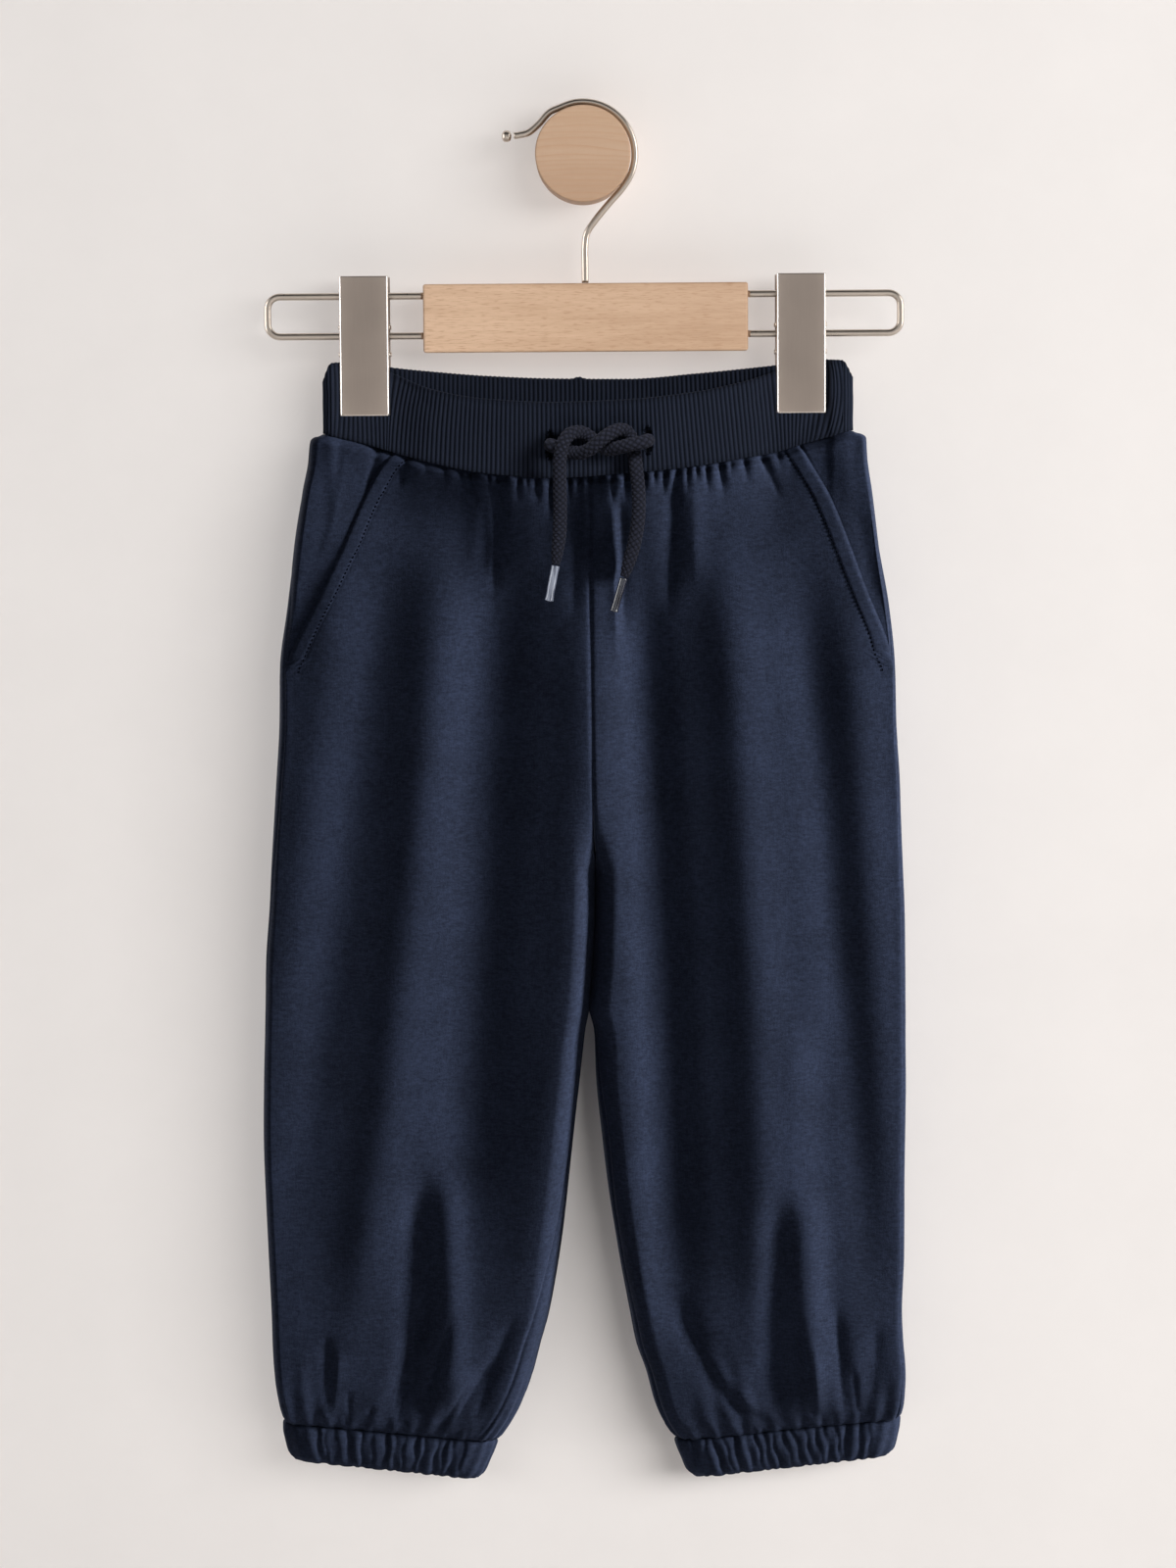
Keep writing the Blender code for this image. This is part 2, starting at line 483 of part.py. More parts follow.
def zip_rows(mesh, row_a, row_b):
    """Fill the strip between two rows of (place, vertex) with triangles, whatever their counts."""
    i = 0
    j = 0
    while i < len(row_a) - 1 or j < len(row_b) - 1:
        next_a = row_a[i + 1][0] if i < len(row_a) - 1 else math.inf
        next_b = row_b[j + 1][0] if j < len(row_b) - 1 else math.inf
        if next_a <= next_b:
            mesh.faces.new((row_a[i][1], row_a[i + 1][1], row_b[j][1]))
            i += 1
        else:
            mesh.faces.new((row_a[i][1], row_b[j + 1][1], row_b[j][1]))
            j += 1


def add_row(mesh, places, points):
    """Add vertices for a row of points in millimetres, paired with their places."""
    return [(place, mesh.verts.new(Vector(point) * MM)) for place, point in zip(places, points)]


def plain_material(name, colour, roughness, metallic):
    material = bpy.data.materials.new(name)
    material.use_nodes = True
    shader = material.node_tree.nodes["Principled BSDF"]
    shader.inputs["Base Color"].default_value = (*colour, 1.0)
    shader.inputs["Roughness"].default_value = roughness
    shader.inputs["Metallic"].default_value = metallic
    return material


def make_object(name, mesh, material):
    """Turn a bmesh into an object with outward faces."""
    bmesh.ops.recalc_face_normals(mesh, faces=mesh.faces)
    data = bpy.data.meshes.new(name)
    mesh.to_mesh(data)
    mesh.free()
    data.shade_smooth()
    data.set_sharp_from_angle(angle=math.radians(SMOOTH_ANGLE))
    thing = bpy.data.objects.new(name, data)
    thing.data.materials.append(material)
    bpy.context.scene.collection.objects.link(thing)
    return thing


def close_wall(mesh, outer_rows, inner_rows):
    """Join the rows of an open panel's outer and inner faces into one closed wall.

    Each is a list of (level, row); both start and end at the same levels.
    """
    for rows in (outer_rows, inner_rows):
        for (_, upper), (_, lower) in zip(rows, rows[1:]):
            zip_rows(mesh, upper, lower)
    zip_rows(mesh, outer_rows[0][1], inner_rows[0][1])
    zip_rows(mesh, outer_rows[-1][1], inner_rows[-1][1])
    for end in (0, -1):
        outside = [(-level, row[end][1]) for level, row in outer_rows]
        inside = [(-level, row[end][1]) for level, row in inner_rows]
        zip_rows(mesh, outside, inside)


def split_loop(loop, panel_face=FRONT):
    """Turn a place round the leg into a face and a u on it.

    0 is the outer edge, 0 to 1 the front face, 1 the inner edge, 1 to 2 the back face, and
    past 2 the front face again. At the centre seam, place 1, a panel stays on its own face.
    """
    if loop < 1.0 or (loop == 1.0 and panel_face == FRONT):
        return FRONT, loop
    if loop <= 2.0:
        return BACK, 2.0 - loop
    return FRONT, loop - 2.0


def panel_ends(side, face, level):
    """Where a panel starts and ends round the leg at a row's level."""
    outer, inner, outer_edge, inner_edge, _ = leg_widths(side, level)
    width = abs(inner - outer)
    side_seam = place_across(smooth(SEAMS, "side_" + side, level), width, outer_edge, inner_edge)
    inseam = 1.0
    if level < CROTCH_LEVEL:
        wrap = smooth(SEAMS, "inseam_" + side, level)
        inseam = place_across(width - wrap, width, outer_edge, inner_edge)
    if face == FRONT:
        if level > POCKET_FOOT:
            mouth = abs(smooth(POCKETS, side, level) - outer)
            side_seam = max(side_seam, place_across(mouth, width, outer_edge, inner_edge))
        return float(side_seam), float(inseam)
    return float(inseam), float(2.0 + side_seam)


def panel_points(side, panel_face, places, level, lift, sink=0.0):
    """Points of a row at places round the leg, lifted by the gathers or sunk below the cloth."""
    points = []
    for place in places:
        face, u = split_loop(place, panel_face)
        point, normal, _ = leg_frame(side, face, np.float64(u), np.float64(level))
        height = gather_height(side, face, u, level) if lift else 0.0
        points.append(point + normal * (height - sink))
    return points


def pull_from_seam(points, start_pull, end_pull):
    """Move a row's end points back along the row, to leave the seam's gap."""
    start = points[1] - points[0]
    end = points[-2] - points[-1]
    points[0] = points[0] + start * (start_pull / np.linalg.norm(start))
    points[-1] = points[-1] + end * (end_pull / np.linalg.norm(end))
    return points


def seam_pull(level):
    """Gap taken off at the inner seam: the outlines hold it where the seam is the centre one."""
    start, height = SEAM_PULL_START
    return 0.5 * SEAM_GAP * float(ease((start - level) / height))


def grid_places(start, end, columns):
    """Places from start to end that keep to one grid of columns across the face."""
    step = 1.0 / columns
    first = math.ceil(start / step + GRID_MARGIN)
    last = math.floor(end / step - GRID_MARGIN)
    return [start] + [k * step for k in range(first, last + 1)] + [end]


def make_panel(name, side, face, material):
    mesh = bmesh.new()
    outer_rows = []
    inner_rows = []
    for row in PANEL_ROWS:
        start, end = panel_ends(side, face, row.z)
        inner_end = seam_pull(row.z)
        start_pull = 0.5 * SEAM_GAP if face == FRONT else inner_end
        end_pull = inner_end if face == FRONT else 0.5 * SEAM_GAP
        places = grid_places(start, end, row.columns)
        points = panel_points(side, face, places, row.z, True)
        points = pull_from_seam(points, start_pull, end_pull)
        outer_rows.append((row.z, add_row(mesh, places, points)))
        if row.inside:
            places = grid_places(start, end, INNER_COLUMNS)
            points = panel_points(side, face, places, row.z, False, CLOTH)
            points = pull_from_seam(points, start_pull, end_pull)
            inner_rows.append((row.z, add_row(mesh, places, points)))
    close_wall(mesh, outer_rows, inner_rows)
    return make_object(name, mesh, material)


def make_pocket_back(name, side, material):
    """The cloth behind a slanted pocket mouth, from the side seam to just behind the front."""
    mesh = bmesh.new()
    outer_rows = []
    inner_rows = []
    levels = [row.z for row in PANEL_ROWS if row.z >= POCKET_FOOT] + [POCKET_FOOT - POCKET_TAIL]
    for level in levels:
        outer, inner, outer_edge, inner_edge, _ = leg_widths(side, np.float64(level))
        width = abs(inner - outer)
        seam = smooth(SEAMS, "side_" + side, level)
        mouth = max(abs(smooth(POCKETS, side, level) - outer), seam)
        shown = max(mouth - seam, 0.0)
        covered = 1.0 - float(ease(shown / POCKET_CLOSES))
        inset = seam + POCKET_SEAM_INSET * covered
        start = float(place_across(inset, width, outer_edge, inner_edge))
        end = float(place_across(mouth + POCKET_OVERLAP, width, outer_edge, inner_edge))
        edge = float(place_across(mouth, width, outer_edge, inner_edge))
        places = grid_places(start, end, POCKET_COLUMNS)
        outer_points = []
        inner_points = []
        for place in places:
            ramp = float(ease((place - start) / max(POCKET_RAMP * (edge - start), 0.001)))
            past = max(0.0, (place - edge) / (end - edge))
            sink = POCKET_SINK * max(ramp, covered) + POCKET_TUCK * past
            point, normal, _ = leg_frame(side, FRONT, np.float64(place), np.float64(level))
            outer_points.append(point - normal * sink)
            inner_points.append(point - normal * (sink + CLOTH))
        outer_points = pull_from_seam(outer_points, 2.0 * SEAM_GAP, 0.0)
        inner_points = pull_from_seam(inner_points, 2.0 * SEAM_GAP, 0.0)
        outer_rows.append((level, add_row(mesh, places, outer_points)))
        inner_rows.append((level, add_row(mesh, places, inner_points)))
    close_wall(mesh, outer_rows, inner_rows)
    return make_object(name, mesh, material)


def close_tube(mesh, rings):
    """Join closed rings of (place, vertex) one to the next, and the last back to the first."""
    for ring, following in zip(rings, rings[1:] + rings[:1]):
        end_a = [(ring[0][0] + 1.0, ring[0][1])]
        end_b = [(following[0][0] + 1.0, following[0][1])]
        zip_rows(mesh, ring + end_a, following + end_b)


# ---- waistband ---------------------------------------------------------------------------------

def band_point(side_face, x_share, drop):
    """A point of the band's outer face without ribs; drop runs from its top (0) to its seam (1)."""
    face, u = side_face, x_share
    left = BAND[0].x
    right = BAND[-1].x
    width = right - left
    turn_in = 0.5 * math.pi * np.clip(u / EDGE_SHARE, 0.0, 1.0)
    turn_out = 0.5 * math.pi * np.clip((1.0 - u) / EDGE_SHARE, 0.0, 1.0)
    middle = np.clip((u - EDGE_SHARE) / (1.0 - 2.0 * EDGE_SHARE), 0.0, 1.0)
    x = left + BAND_EDGE * (1.0 - np.cos(turn_in)) + (width - 2.0 * BAND_EDGE) * middle
    x = x + BAND_EDGE * np.cos(turn_out)
    fullness = np.sin(turn_in) * np.sin(turn_out)
    word = "front" if face == FRONT else "back"
    top = smooth(BAND, word + "_top", x)
    seam = smooth(BAND, word + "_seam", x)
    depth_top = smooth(BAND, word + "_depth", x)
    depth = depth_top + (smooth(BAND, "seam_depth", x) - depth_top) * drop ** 4
    return np.array((x, HANG_DEPTH + face * depth * fullness, top + (seam - top) * drop))


def band_loop(place, drop):
    """The band's outer face at a place round it: 0 to 1 on the front, 1 to 2 on the back."""
    place = place % 2.0
    if place <= 1.0:
        return band_point(FRONT, place, drop)
    return band_point(BACK, 2.0 - place, drop)


def even_places(count):
    """Places round the band that are the same length apart along it."""
    tries = np.linspace(0.0, 2.0, BAND_TRIES)
    line = np.array([band_loop(t, 0.5) for t in tries])
    steps = np.linalg.norm(np.diff(line, axis=0), axis=1)
    length = np.concatenate(((0.0,), np.cumsum(steps)))
    return np.interp(np.arange(count) / count * length[-1], length, tries)


def band_ring(mesh, places, drop, lift, lower=0.0):
    """A ring round the band, each point moved out by its lift and down by lower."""
    ring = []
    for number, place in enumerate(places):
        ahead = band_loop(place + BAND_PROBE, drop)
        behind = band_loop(place - BAND_PROBE, drop)
        along = ahead - behind
        out = np.array((along[1], -along[0], 0.0))
        out = out / np.linalg.norm(out)
        raised = lift[number % len(lift)]
        point = band_loop(place, drop) + out * raised - np.array((0.0, 0.0, lower))
        ring.append((number / len(places), mesh.verts.new(Vector(point) * MM)))
    return ring


def make_waistband(material):
    mesh = bmesh.new()
    ribbed = even_places(2 * RIBS)
    plain = even_places(BAND_INNER_POINTS)
    rib = (0.0, -RIB_HEIGHT)
    seam_side = -0.5 * SEAM_GAP
    rings = [
        band_ring(mesh, ribbed, 0.0, (-0.5 * BAND_CLOTH,)),
        band_ring(mesh, ribbed, BAND_TURN, rib),
        band_ring(mesh, ribbed, BAND_MIDDLE, rib),
        band_ring(mesh, ribbed, 1.0, rib, seam_side),
        band_ring(mesh, plain, 1.0, (-BAND_CLOTH,), seam_side),
        band_ring(mesh, plain, BAND_MIDDLE, (-BAND_CLOTH,)),
        band_ring(mesh, plain, BAND_TURN, (-BAND_CLOTH,)),
    ]
    close_tube(mesh, rings)
    band = make_object("waistband", mesh, material)
    for number, (x, z) in enumerate(BUTTONHOLES):
        cut_buttonhole(band, number, x, z)
    return band


def cut_buttonhole(band, number, x, z):
    """Sink an upright oval slit into the front of the band."""
    reach = BUTTONHOLE_REACH
    mesh = bmesh.new()
    bmesh.ops.create_cone(mesh, cap_ends=True, segments=BUTTONHOLE_SIDES, radius1=0.5, radius2=0.5,
                          depth=1.0)
    for vertex in mesh.verts:
        over, up, deep = vertex.co
        vertex.co = Vector((over * BUTTONHOLE_SIZE[0], deep * reach, up * BUTTONHOLE_SIZE[1])) * MM
    cutter = make_object("buttonhole_cutter_%d" % number, mesh, band.data.materials[0])
    front = band_front_depth(x, z)
    cutter.location = Vector((x, front + BUTTONHOLE_DEPTH - 0.5 * reach, z)) * MM
    cutter.hide_render = True
    cutter.display_type = "WIRE"
    cut = band.modifiers.new("buttonhole_%d" % number, "BOOLEAN")
    cut.operation = "DIFFERENCE"
    cut.solver = "EXACT"
    cut.object = cutter


def band_front_depth(x, z):
    """y of the band's front face at x and z."""
    top = smooth(BAND, "front_top", x)
    seam = smooth(BAND, "front_seam", x)
    drop = (z - top) / (seam - top)
    depth = smooth(BAND, "front_depth", x)
    return float(HANG_DEPTH - depth - (smooth(BAND, "seam_depth", x) - depth) * drop ** 4)


# ---- cuffs -------------------------------------------------------------------------------------

def cuff_point(side, loop, drop):
    """A point of the cuff's outer face without its gathers."""
    face, u = split_loop(loop)
    outer = smooth(CUFFS, "outer_" + side, drop)
    inner = smooth(CUFFS, "inner_" + side, drop)
    share, fullness = across(np.float64(u), abs(inner - outer), CUFF_EDGE, CUFF_EDGE, 0.0)
    depth = smooth(CUFFS, "depth", drop) * fullness
    z = CUFF_LEVEL - CUFF_SLANT * share - drop
    return np.array((outer + (inner - outer) * share, HANG_DEPTH + face * depth, z))


def cuff_ring(mesh, side, count, drop, gathered, sink):
    """A ring round the cuff, gathered by a share of the full height, and sunk by the wall."""
    ring = []
    for number in range(count):
        place = 2.0 * number / count
        ahead = cuff_point(side, (place + CUFF_PROBE) % 2.0, drop)
        behind = cuff_point(side, (place - CUFF_PROBE) % 2.0, drop)
        along = ahead - behind
        out = np.array((along[1], -along[0], 0.0))
        out = out / np.linalg.norm(out)
        if side == "right":
            out = -out
        face, u = split_loop(place)
        seed = gather_seed(side, face)
        lift = CUFF_GATHER_HEIGHT * gathered * float(waves(u, CUFF_GATHERS, seed)) - sink
        point = cuff_point(side, place, drop) + out * lift
        ring.append((number / count, mesh.verts.new(Vector(point) * MM)))
    return ring


def make_cuff(name, side, material):
    mesh = bmesh.new()
    rings = [cuff_ring(mesh, side, row.points, row.drop, row.gathered, row.sink) for row in CUFF_RINGS]
    close_tube(mesh, rings)
    return make_object(name, mesh, material)


# ---- drawstring, wires and hanger --------------------------------------------------------------

def smooth_route(points, step):
    """Even points along a Catmull-Rom curve through a route's own points."""
    points = [np.array(point, dtype=float) for point in points]
    padded = [2.0 * points[0] - points[1]] + points + [2.0 * points[-1] - points[-2]]
    fine = []
    for a, b, c, d in zip(padded, padded[1:], padded[2:], padded[3:]):
        for part in range(CURVE_PARTS):
            t = part / CURVE_PARTS
            fine.append(0.5 * (2.0 * b + (c - a) * t + (2.0 * a - 5.0 * b + 4.0 * c - d) * t ** 2
                               + (3.0 * b - a - 3.0 * c + d) * t ** 3))
    fine.append(points[-1])
    fine = np.array(fine)
    length = np.concatenate(((0.0,), np.cumsum(np.linalg.norm(np.diff(fine[:, :3], axis=0), axis=1))))
    count = max(2, int(round(length[-1] / step)))
    wanted = np.linspace(0.0, length[-1], count + 1)
    return np.stack([np.interp(wanted, length, fine[:, k]) for k in range(fine.shape[1])], axis=1)


def make_wire(name, points, diameter, material, resolution=WIRE_RESOLUTION):
    """A round wire or cord with closed ends; a fourth value in a point scales its thickness."""
    curve = bpy.data.curves.new(name, "CURVE")
    curve.dimensions = "3D"
    curve.bevel_depth = 0.5 * diameter * MM
    curve.bevel_resolution = resolution
    curve.use_fill_caps = True
    spline = curve.splines.new("POLY")
    spline.points.add(len(points) - 1)
    for target, point in zip(spline.points, points):
        target.co = (point[0] * MM, point[1] * MM, point[2] * MM, 1.0)
        target.radius = point[3] if len(point) > 3 else 1.0
    curve.materials.append(material)
    thing = bpy.data.objects.new(name, curve)
    bpy.context.scene.collection.objects.link(thing)
    return thing


def make_hook(material):
    radius = PEG_RADIUS + 0.5 * HOOK_DIAMETER + SEAM_GAP
    first, last = (math.radians(angle) for angle in HOOK_ARC)
    turns = np.linspace(first, last, HOOK_ARC_POINTS)
    arc = [(radius * math.cos(turn), radius * math.sin(turn)) for turn in turns]
    route = [(x, HANG_DEPTH, z) for x, z in list(HOOK_STEM) + arc + list(HOOK_LEAD)]
    make_wire("hook", smooth_route(route, HOOK_STEP), HOOK_DIAMETER, material)
    mesh = bmesh.new()
    around, along = HOOK_BALL_SIDES
    radius = 0.5 * HOOK_BALL_DIAMETER * MM
    bmesh.ops.create_uvsphere(mesh, u_segments=around, v_segments=along, radius=radius)
    ball = make_object("hook_ball", mesh, material)
    ball.location = Vector((HOOK_BALL[0], HANG_DEPTH, HOOK_BALL[1])) * MM


def make_frame(name, side, material):
    """The open wire loop that comes out of one end of the bar."""
    sign = -1.0 if side == "left" else 1.0
    start = BAR_CENTRE[0] + sign * (0.5 * BAR_SIZE[0] + SEAM_GAP)
    far = sign * (FRAME_REACH - 0.5 * FRAME_DIAMETER)
    top, foot = FRAME_HEIGHTS
    route = [(start, HANG_DEPTH, top), (0.5 * (start + far), HANG_DEPTH, top)]
    for centre_z, first in ((top - FRAME_CORNER, 90.0), (foot + FRAME_CORNER, 0.0)):
        for turn in np.linspace(first, first - 90.0, CORNER_POINTS):
            angle = math.radians(turn)
            x = far - sign * FRAME_CORNER * (1.0 - math.cos(angle))
            route.append((x, HANG_DEPTH, centre_z + FRAME_CORNER * math.sin(angle)))
    route += [(0.5 * (start + far), HANG_DEPTH, foot), (start, HANG_DEPTH, foot)]
    make_wire(name, route, FRAME_DIAMETER, material)


def add_bevel(thing, width, segments=1):
    bevel = thing.modifiers.new("rounded_edges", "BEVEL")
    bevel.width = width * MM
    bevel.segments = segments
    bevel.limit_method = "ANGLE"
    bevel.angle_limit = math.radians(BEVEL_ANGLE)


def make_block(name, size, centre, material):
    """A block whose mesh holds its real size, placed by its centre."""
    mesh = bmesh.new()
    bmesh.ops.create_cube(mesh, size=1.0)
    bmesh.ops.scale(mesh, vec=Vector(size) * MM, verts=mesh.verts)
    block = make_object(name, mesh, material)
    block.location = Vector(centre) * MM
    return block


def make_bar(material):
    bar = make_block("hanger_bar", BAR_SIZE, BAR_CENTRE, material)
    add_bevel(bar, BAR_ROUNDING, 2)


def make_peg(material):
    mesh = bmesh.new()
    bmesh.ops.create_cone(mesh, cap_ends=True, segments=PEG_SIDES, radius1=PEG_RADIUS * MM,
                          radius2=PEG_RADIUS * MM, depth=PEG_LENGTH * MM)
    peg = make_object("wall_peg", mesh, material)
    peg.rotation_euler = (math.radians(90.0), 0.0, 0.0)
    peg.location = Vector((0.0, -0.5 * PEG_LENGTH, 0.0)) * MM
    add_bevel(peg, PEG_ROUNDING)


def make_clip_half(name, place, facing, material):
    """A folded steel cheek with side flanges and a solid jaw at its foot."""
    depth = CLIP_HALF_DEPTH
    profile = [(depth, CLIP_TOP), (depth, CLIP_FOOT), (JAW_HALF_GAP, CLIP_FOOT)] + list(FLANGE)
    mesh = bmesh.new()
    sides = []
    for over in (-0.5 * CLIP_WIDTH, 0.5 * CLIP_WIDTH):
        points = [Vector((place + over, HANG_DEPTH + facing * d, z)) * MM for d, z in profile]
        sides.append([mesh.verts.new(point) for point in points])
    mesh.faces.new(sides[0])
    mesh.faces.new(list(reversed(sides[1])))
    for k in range(len(profile)):
        n = (k + 1) % len(profile)
        mesh.faces.new((sides[0][n], sides[0][k], sides[1][k], sides[1][n]))
    cheek = make_object(name, mesh, material)
    hollow_foot = CLIP_FOOT + JAW_HEIGHT
    hollow_top = CLIP_TOP + CLIP_OPEN_TOP
    hollow_depth = depth - CLIP_SHEET
    hollow = make_block(
        name + "_hollow_cutter",
        (CLIP_WIDTH - 2.0 * CLIP_SHEET, hollow_depth, hollow_top - hollow_foot),
        (place, HANG_DEPTH + facing * 0.5 * hollow_depth, 0.5 * (hollow_top + hollow_foot)),
        material)
    hollow.hide_render = True
    hollow.display_type = "WIRE"
    cut = cheek.modifiers.new("hollow", "BOOLEAN")
    cut.operation = "DIFFERENCE"
    cut.solver = "EXACT"
    cut.object = hollow
    add_bevel(cheek, CLIP_ROUNDING)


def make_clip_pin(name, place, material):
    """The rolled spring between a clip's two halves."""
    half = 0.5 * CLIP_WIDTH - CLIP_SHEET - SEAM_GAP
    route = [(place - half, HANG_DEPTH, SPRING_LEVEL), (place + half, HANG_DEPTH, SPRING_LEVEL)]
    make_wire(name, route, SPRING_DIAMETER, material, FINE_RESOLUTION)


def main():
    for thing in list(bpy.data.objects):
        bpy.data.objects.remove(thing)
    cloth = plain_material("navy jersey", (0.010, 0.014, 0.026), 0.9, 0.0)
    rib_knit = plain_material("navy rib", (0.012, 0.016, 0.028), 0.92, 0.0)
    braid = plain_material("navy braid", (0.014, 0.017, 0.030), 0.88, 0.0)
    clear = plain_material("clear tip", (0.03, 0.035, 0.05), 0.12, 0.0)
    beech = plain_material("beech", (0.58, 0.38, 0.23), 0.5, 0.0)
    nickel = plain_material("brushed nickel", (0.42, 0.38, 0.34), 0.38, 1.0)

    make_waistband(rib_knit)
    for side in ("left", "right"):
        make_panel("front_" + side, side, FRONT, cloth)
        make_panel("back_" + side, side, BACK, cloth)
        make_pocket_back("pocket_back_" + side, side, cloth)
        make_cuff("cuff_" + side, side, cloth)
        place = CLIP_PLACES[side]
        make_clip_half("clip_%s_front" % side, place, FRONT, nickel)
        make_clip_half("clip_%s_back" % side, place, BACK, nickel)
        make_clip_pin("clip_%s_spring" % side, place, nickel)
        make_frame("frame_" + side, side, nickel)
    for name, route in CORD_ROUTES.items():
        make_wire(name, smooth_route(route, CORD_STEP), CORD_DIAMETER, braid)
    for name, (head, foot) in TIPS.items():
        make_wire(name, (head, foot), TIP_DIAMETER, clear, FINE_RESOLUTION)
    make_bar(beech)
    make_peg(beech)
    make_hook(nickel)


main()
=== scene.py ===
import json
import math

import bmesh
import bpy
import numpy as np
from mathutils import Matrix, Vector

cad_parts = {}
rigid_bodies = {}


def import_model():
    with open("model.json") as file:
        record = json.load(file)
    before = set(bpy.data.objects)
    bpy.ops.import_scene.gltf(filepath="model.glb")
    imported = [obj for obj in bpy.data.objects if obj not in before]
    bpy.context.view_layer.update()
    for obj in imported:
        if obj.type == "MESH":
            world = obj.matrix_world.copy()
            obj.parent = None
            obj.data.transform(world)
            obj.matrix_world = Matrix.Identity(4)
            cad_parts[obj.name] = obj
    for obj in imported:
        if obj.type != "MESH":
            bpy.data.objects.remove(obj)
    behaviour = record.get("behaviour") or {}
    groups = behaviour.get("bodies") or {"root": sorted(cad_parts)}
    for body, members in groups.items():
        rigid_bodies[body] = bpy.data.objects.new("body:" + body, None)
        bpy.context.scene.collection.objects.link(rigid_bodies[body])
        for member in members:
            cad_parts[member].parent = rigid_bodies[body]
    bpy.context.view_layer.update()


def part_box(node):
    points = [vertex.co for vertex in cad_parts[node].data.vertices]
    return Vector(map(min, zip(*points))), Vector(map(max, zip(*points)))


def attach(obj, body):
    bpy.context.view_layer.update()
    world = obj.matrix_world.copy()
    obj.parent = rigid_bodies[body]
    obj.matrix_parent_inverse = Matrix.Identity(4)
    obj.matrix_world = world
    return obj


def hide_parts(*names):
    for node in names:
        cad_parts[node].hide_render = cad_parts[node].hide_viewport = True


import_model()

mm = 0.001    # the garment's tables are in millimetres, the scene is in metres
front = -1
back = 1


# The camera stands level with the waistband and looks a little down.
view = {
    "place": (0.0003, -1.830, -0.1112),
    "pitch": 84.4,
    "roll": 0.40,
    "lens": 90.0,
    "film": 36.0,     # height of the film, in mm
    "nearest": 0.05,
}


def makeCamera():
    camera = bpy.data.objects.new("camera", bpy.data.cameras.new("camera"))
    bpy.context.scene.collection.objects.link(camera)
    camera.data.sensor_fit = "VERTICAL"
    camera.data.sensor_height = view["film"]
    camera.data.lens = view["lens"]
    camera.data.clip_start = view["nearest"]
    camera.location = view["place"]
    turn = Matrix.Rotation(math.radians(view["pitch"]), 4, "X")
    tip = Matrix.Rotation(math.radians(-view["roll"]), 4, "Z")
    camera.rotation_euler = (turn @ tip).to_euler()
    bpy.context.scene.camera = camera


makeCamera()
print("camera placed")


# Shader maths is written as plain expressions.
class Flow:
    # one output socket; an expression on it adds its Math nodes
    def __init__(self, finish, socket):
        self.finish = finish
        self.socket = socket

    def maths(self, operation, *others):
        return self.finish.node("ShaderNodeMath", {"operation": operation}, dict(enumerate(others)))

    def __add__(self, other):
        return self.maths("ADD", self, other)

    def __radd__(self, other):
        return self.maths("ADD", other, self)

    def __sub__(self, other):
        return self.maths("SUBTRACT", self, other)

    def __rsub__(self, other):
        return self.maths("SUBTRACT", other, self)

    def __mul__(self, other):
        return self.maths("MULTIPLY", self, other)

    def __rmul__(self, other):
        return self.maths("MULTIPLY", other, self)

    def __pow__(self, other):
        return self.maths("POWER", self, other)

    def __rpow__(self, other):
        return self.maths("POWER", other, self)

    def fraction(self):
        return self.maths("FRACT", self)


class Finish:
    # one material, built node by node
    def __init__(self, name, **steady):
        self.material = bpy.data.materials.new(name)
        self.material.use_nodes = True
        self.tree = self.material.node_tree
        self.shader = self.tree.nodes["Principled BSDF"]
        for word, value in steady.items():
            self.shader.inputs[word.replace("_", " ")].default_value = value

    def node(self, kind, settings=None, sockets=None, take=0):
        made = self.tree.nodes.new(kind)
        for word, value in (settings or {}).items():
            if word == "stops":
                self.setStops(made.color_ramp, value)
            else:
                setattr(made, word, value)
        for key, value in (sockets or {}).items():
            self.feed(made.inputs[key], value)
        return Flow(self, made.outputs[take])

    def setStops(self, ramp, stops):
        while len(ramp.elements) < len(stops):
            ramp.elements.new(0.5)
        for element, (place, colour) in zip(ramp.elements, stops):
            element.position = place
            element.color = (*colour[:3], 1.0)

    def feed(self, socket, value):
        if isinstance(value, Flow):
            self.tree.links.new(value.socket, socket)
        else:
            socket.default_value = value

    def place(self, scale=(1.0, 1.0, 1.0)):
        # the place on the object, stretched; a larger scale makes the pattern finer that way
        where = self.node("ShaderNodeTexCoord", take="Object")
        return self.node("ShaderNodeMapping", None, {"Vector": where, "Scale": scale})

    def parts(self, vector):
        split = self.node("ShaderNodeSeparateXYZ", None, {0: vector})
        return [Flow(self, out) for out in split.socket.node.outputs]

    def stored(self, name):
        # a share from 0 to 1 kept on the mesh's points
        return self.node("ShaderNodeAttribute", {"attribute_name": name}, take="Fac")

    def noise(self, vector, scale, detail=2.0, rough=0.5, bend=0.0):
        sockets = {"Vector": vector, "Scale": scale, "Detail": detail, "Roughness": rough, "Distortion": bend}
        return self.node("ShaderNodeTexNoise", None, sockets)

    def ramp(self, value, *stops):
        return self.node("ShaderNodeValToRGB", {"stops": stops}, {0: value})

    def tones(self, value, colour, *stops):
        # a ramp through darker and paler tones of one colour
        return self.ramp(value, *[(place, shade(colour, share)) for place, share in stops])

    def blend(self, share, first, second, how="MIX"):
        settings = {"data_type": "RGBA", "blend_type": how}
        return self.node("ShaderNodeMix", settings, {0: share, 6: first, 7: second}, 2)

    def colour(self, value):
        self.feed(self.shader.inputs["Base Color"], value)

    def rough(self, value):
        self.feed(self.shader.inputs["Roughness"], value)

    def bump(self, height, distance, strength):
        sockets = {"Height": height, "Distance": distance, "Strength": strength}
        self.feed(self.shader.inputs["Normal"], self.node("ShaderNodeBump", None, sockets))


def shade(colour, share):
    return tuple(min(1.0, part * share) for part in colour[:3]) + (1.0,)


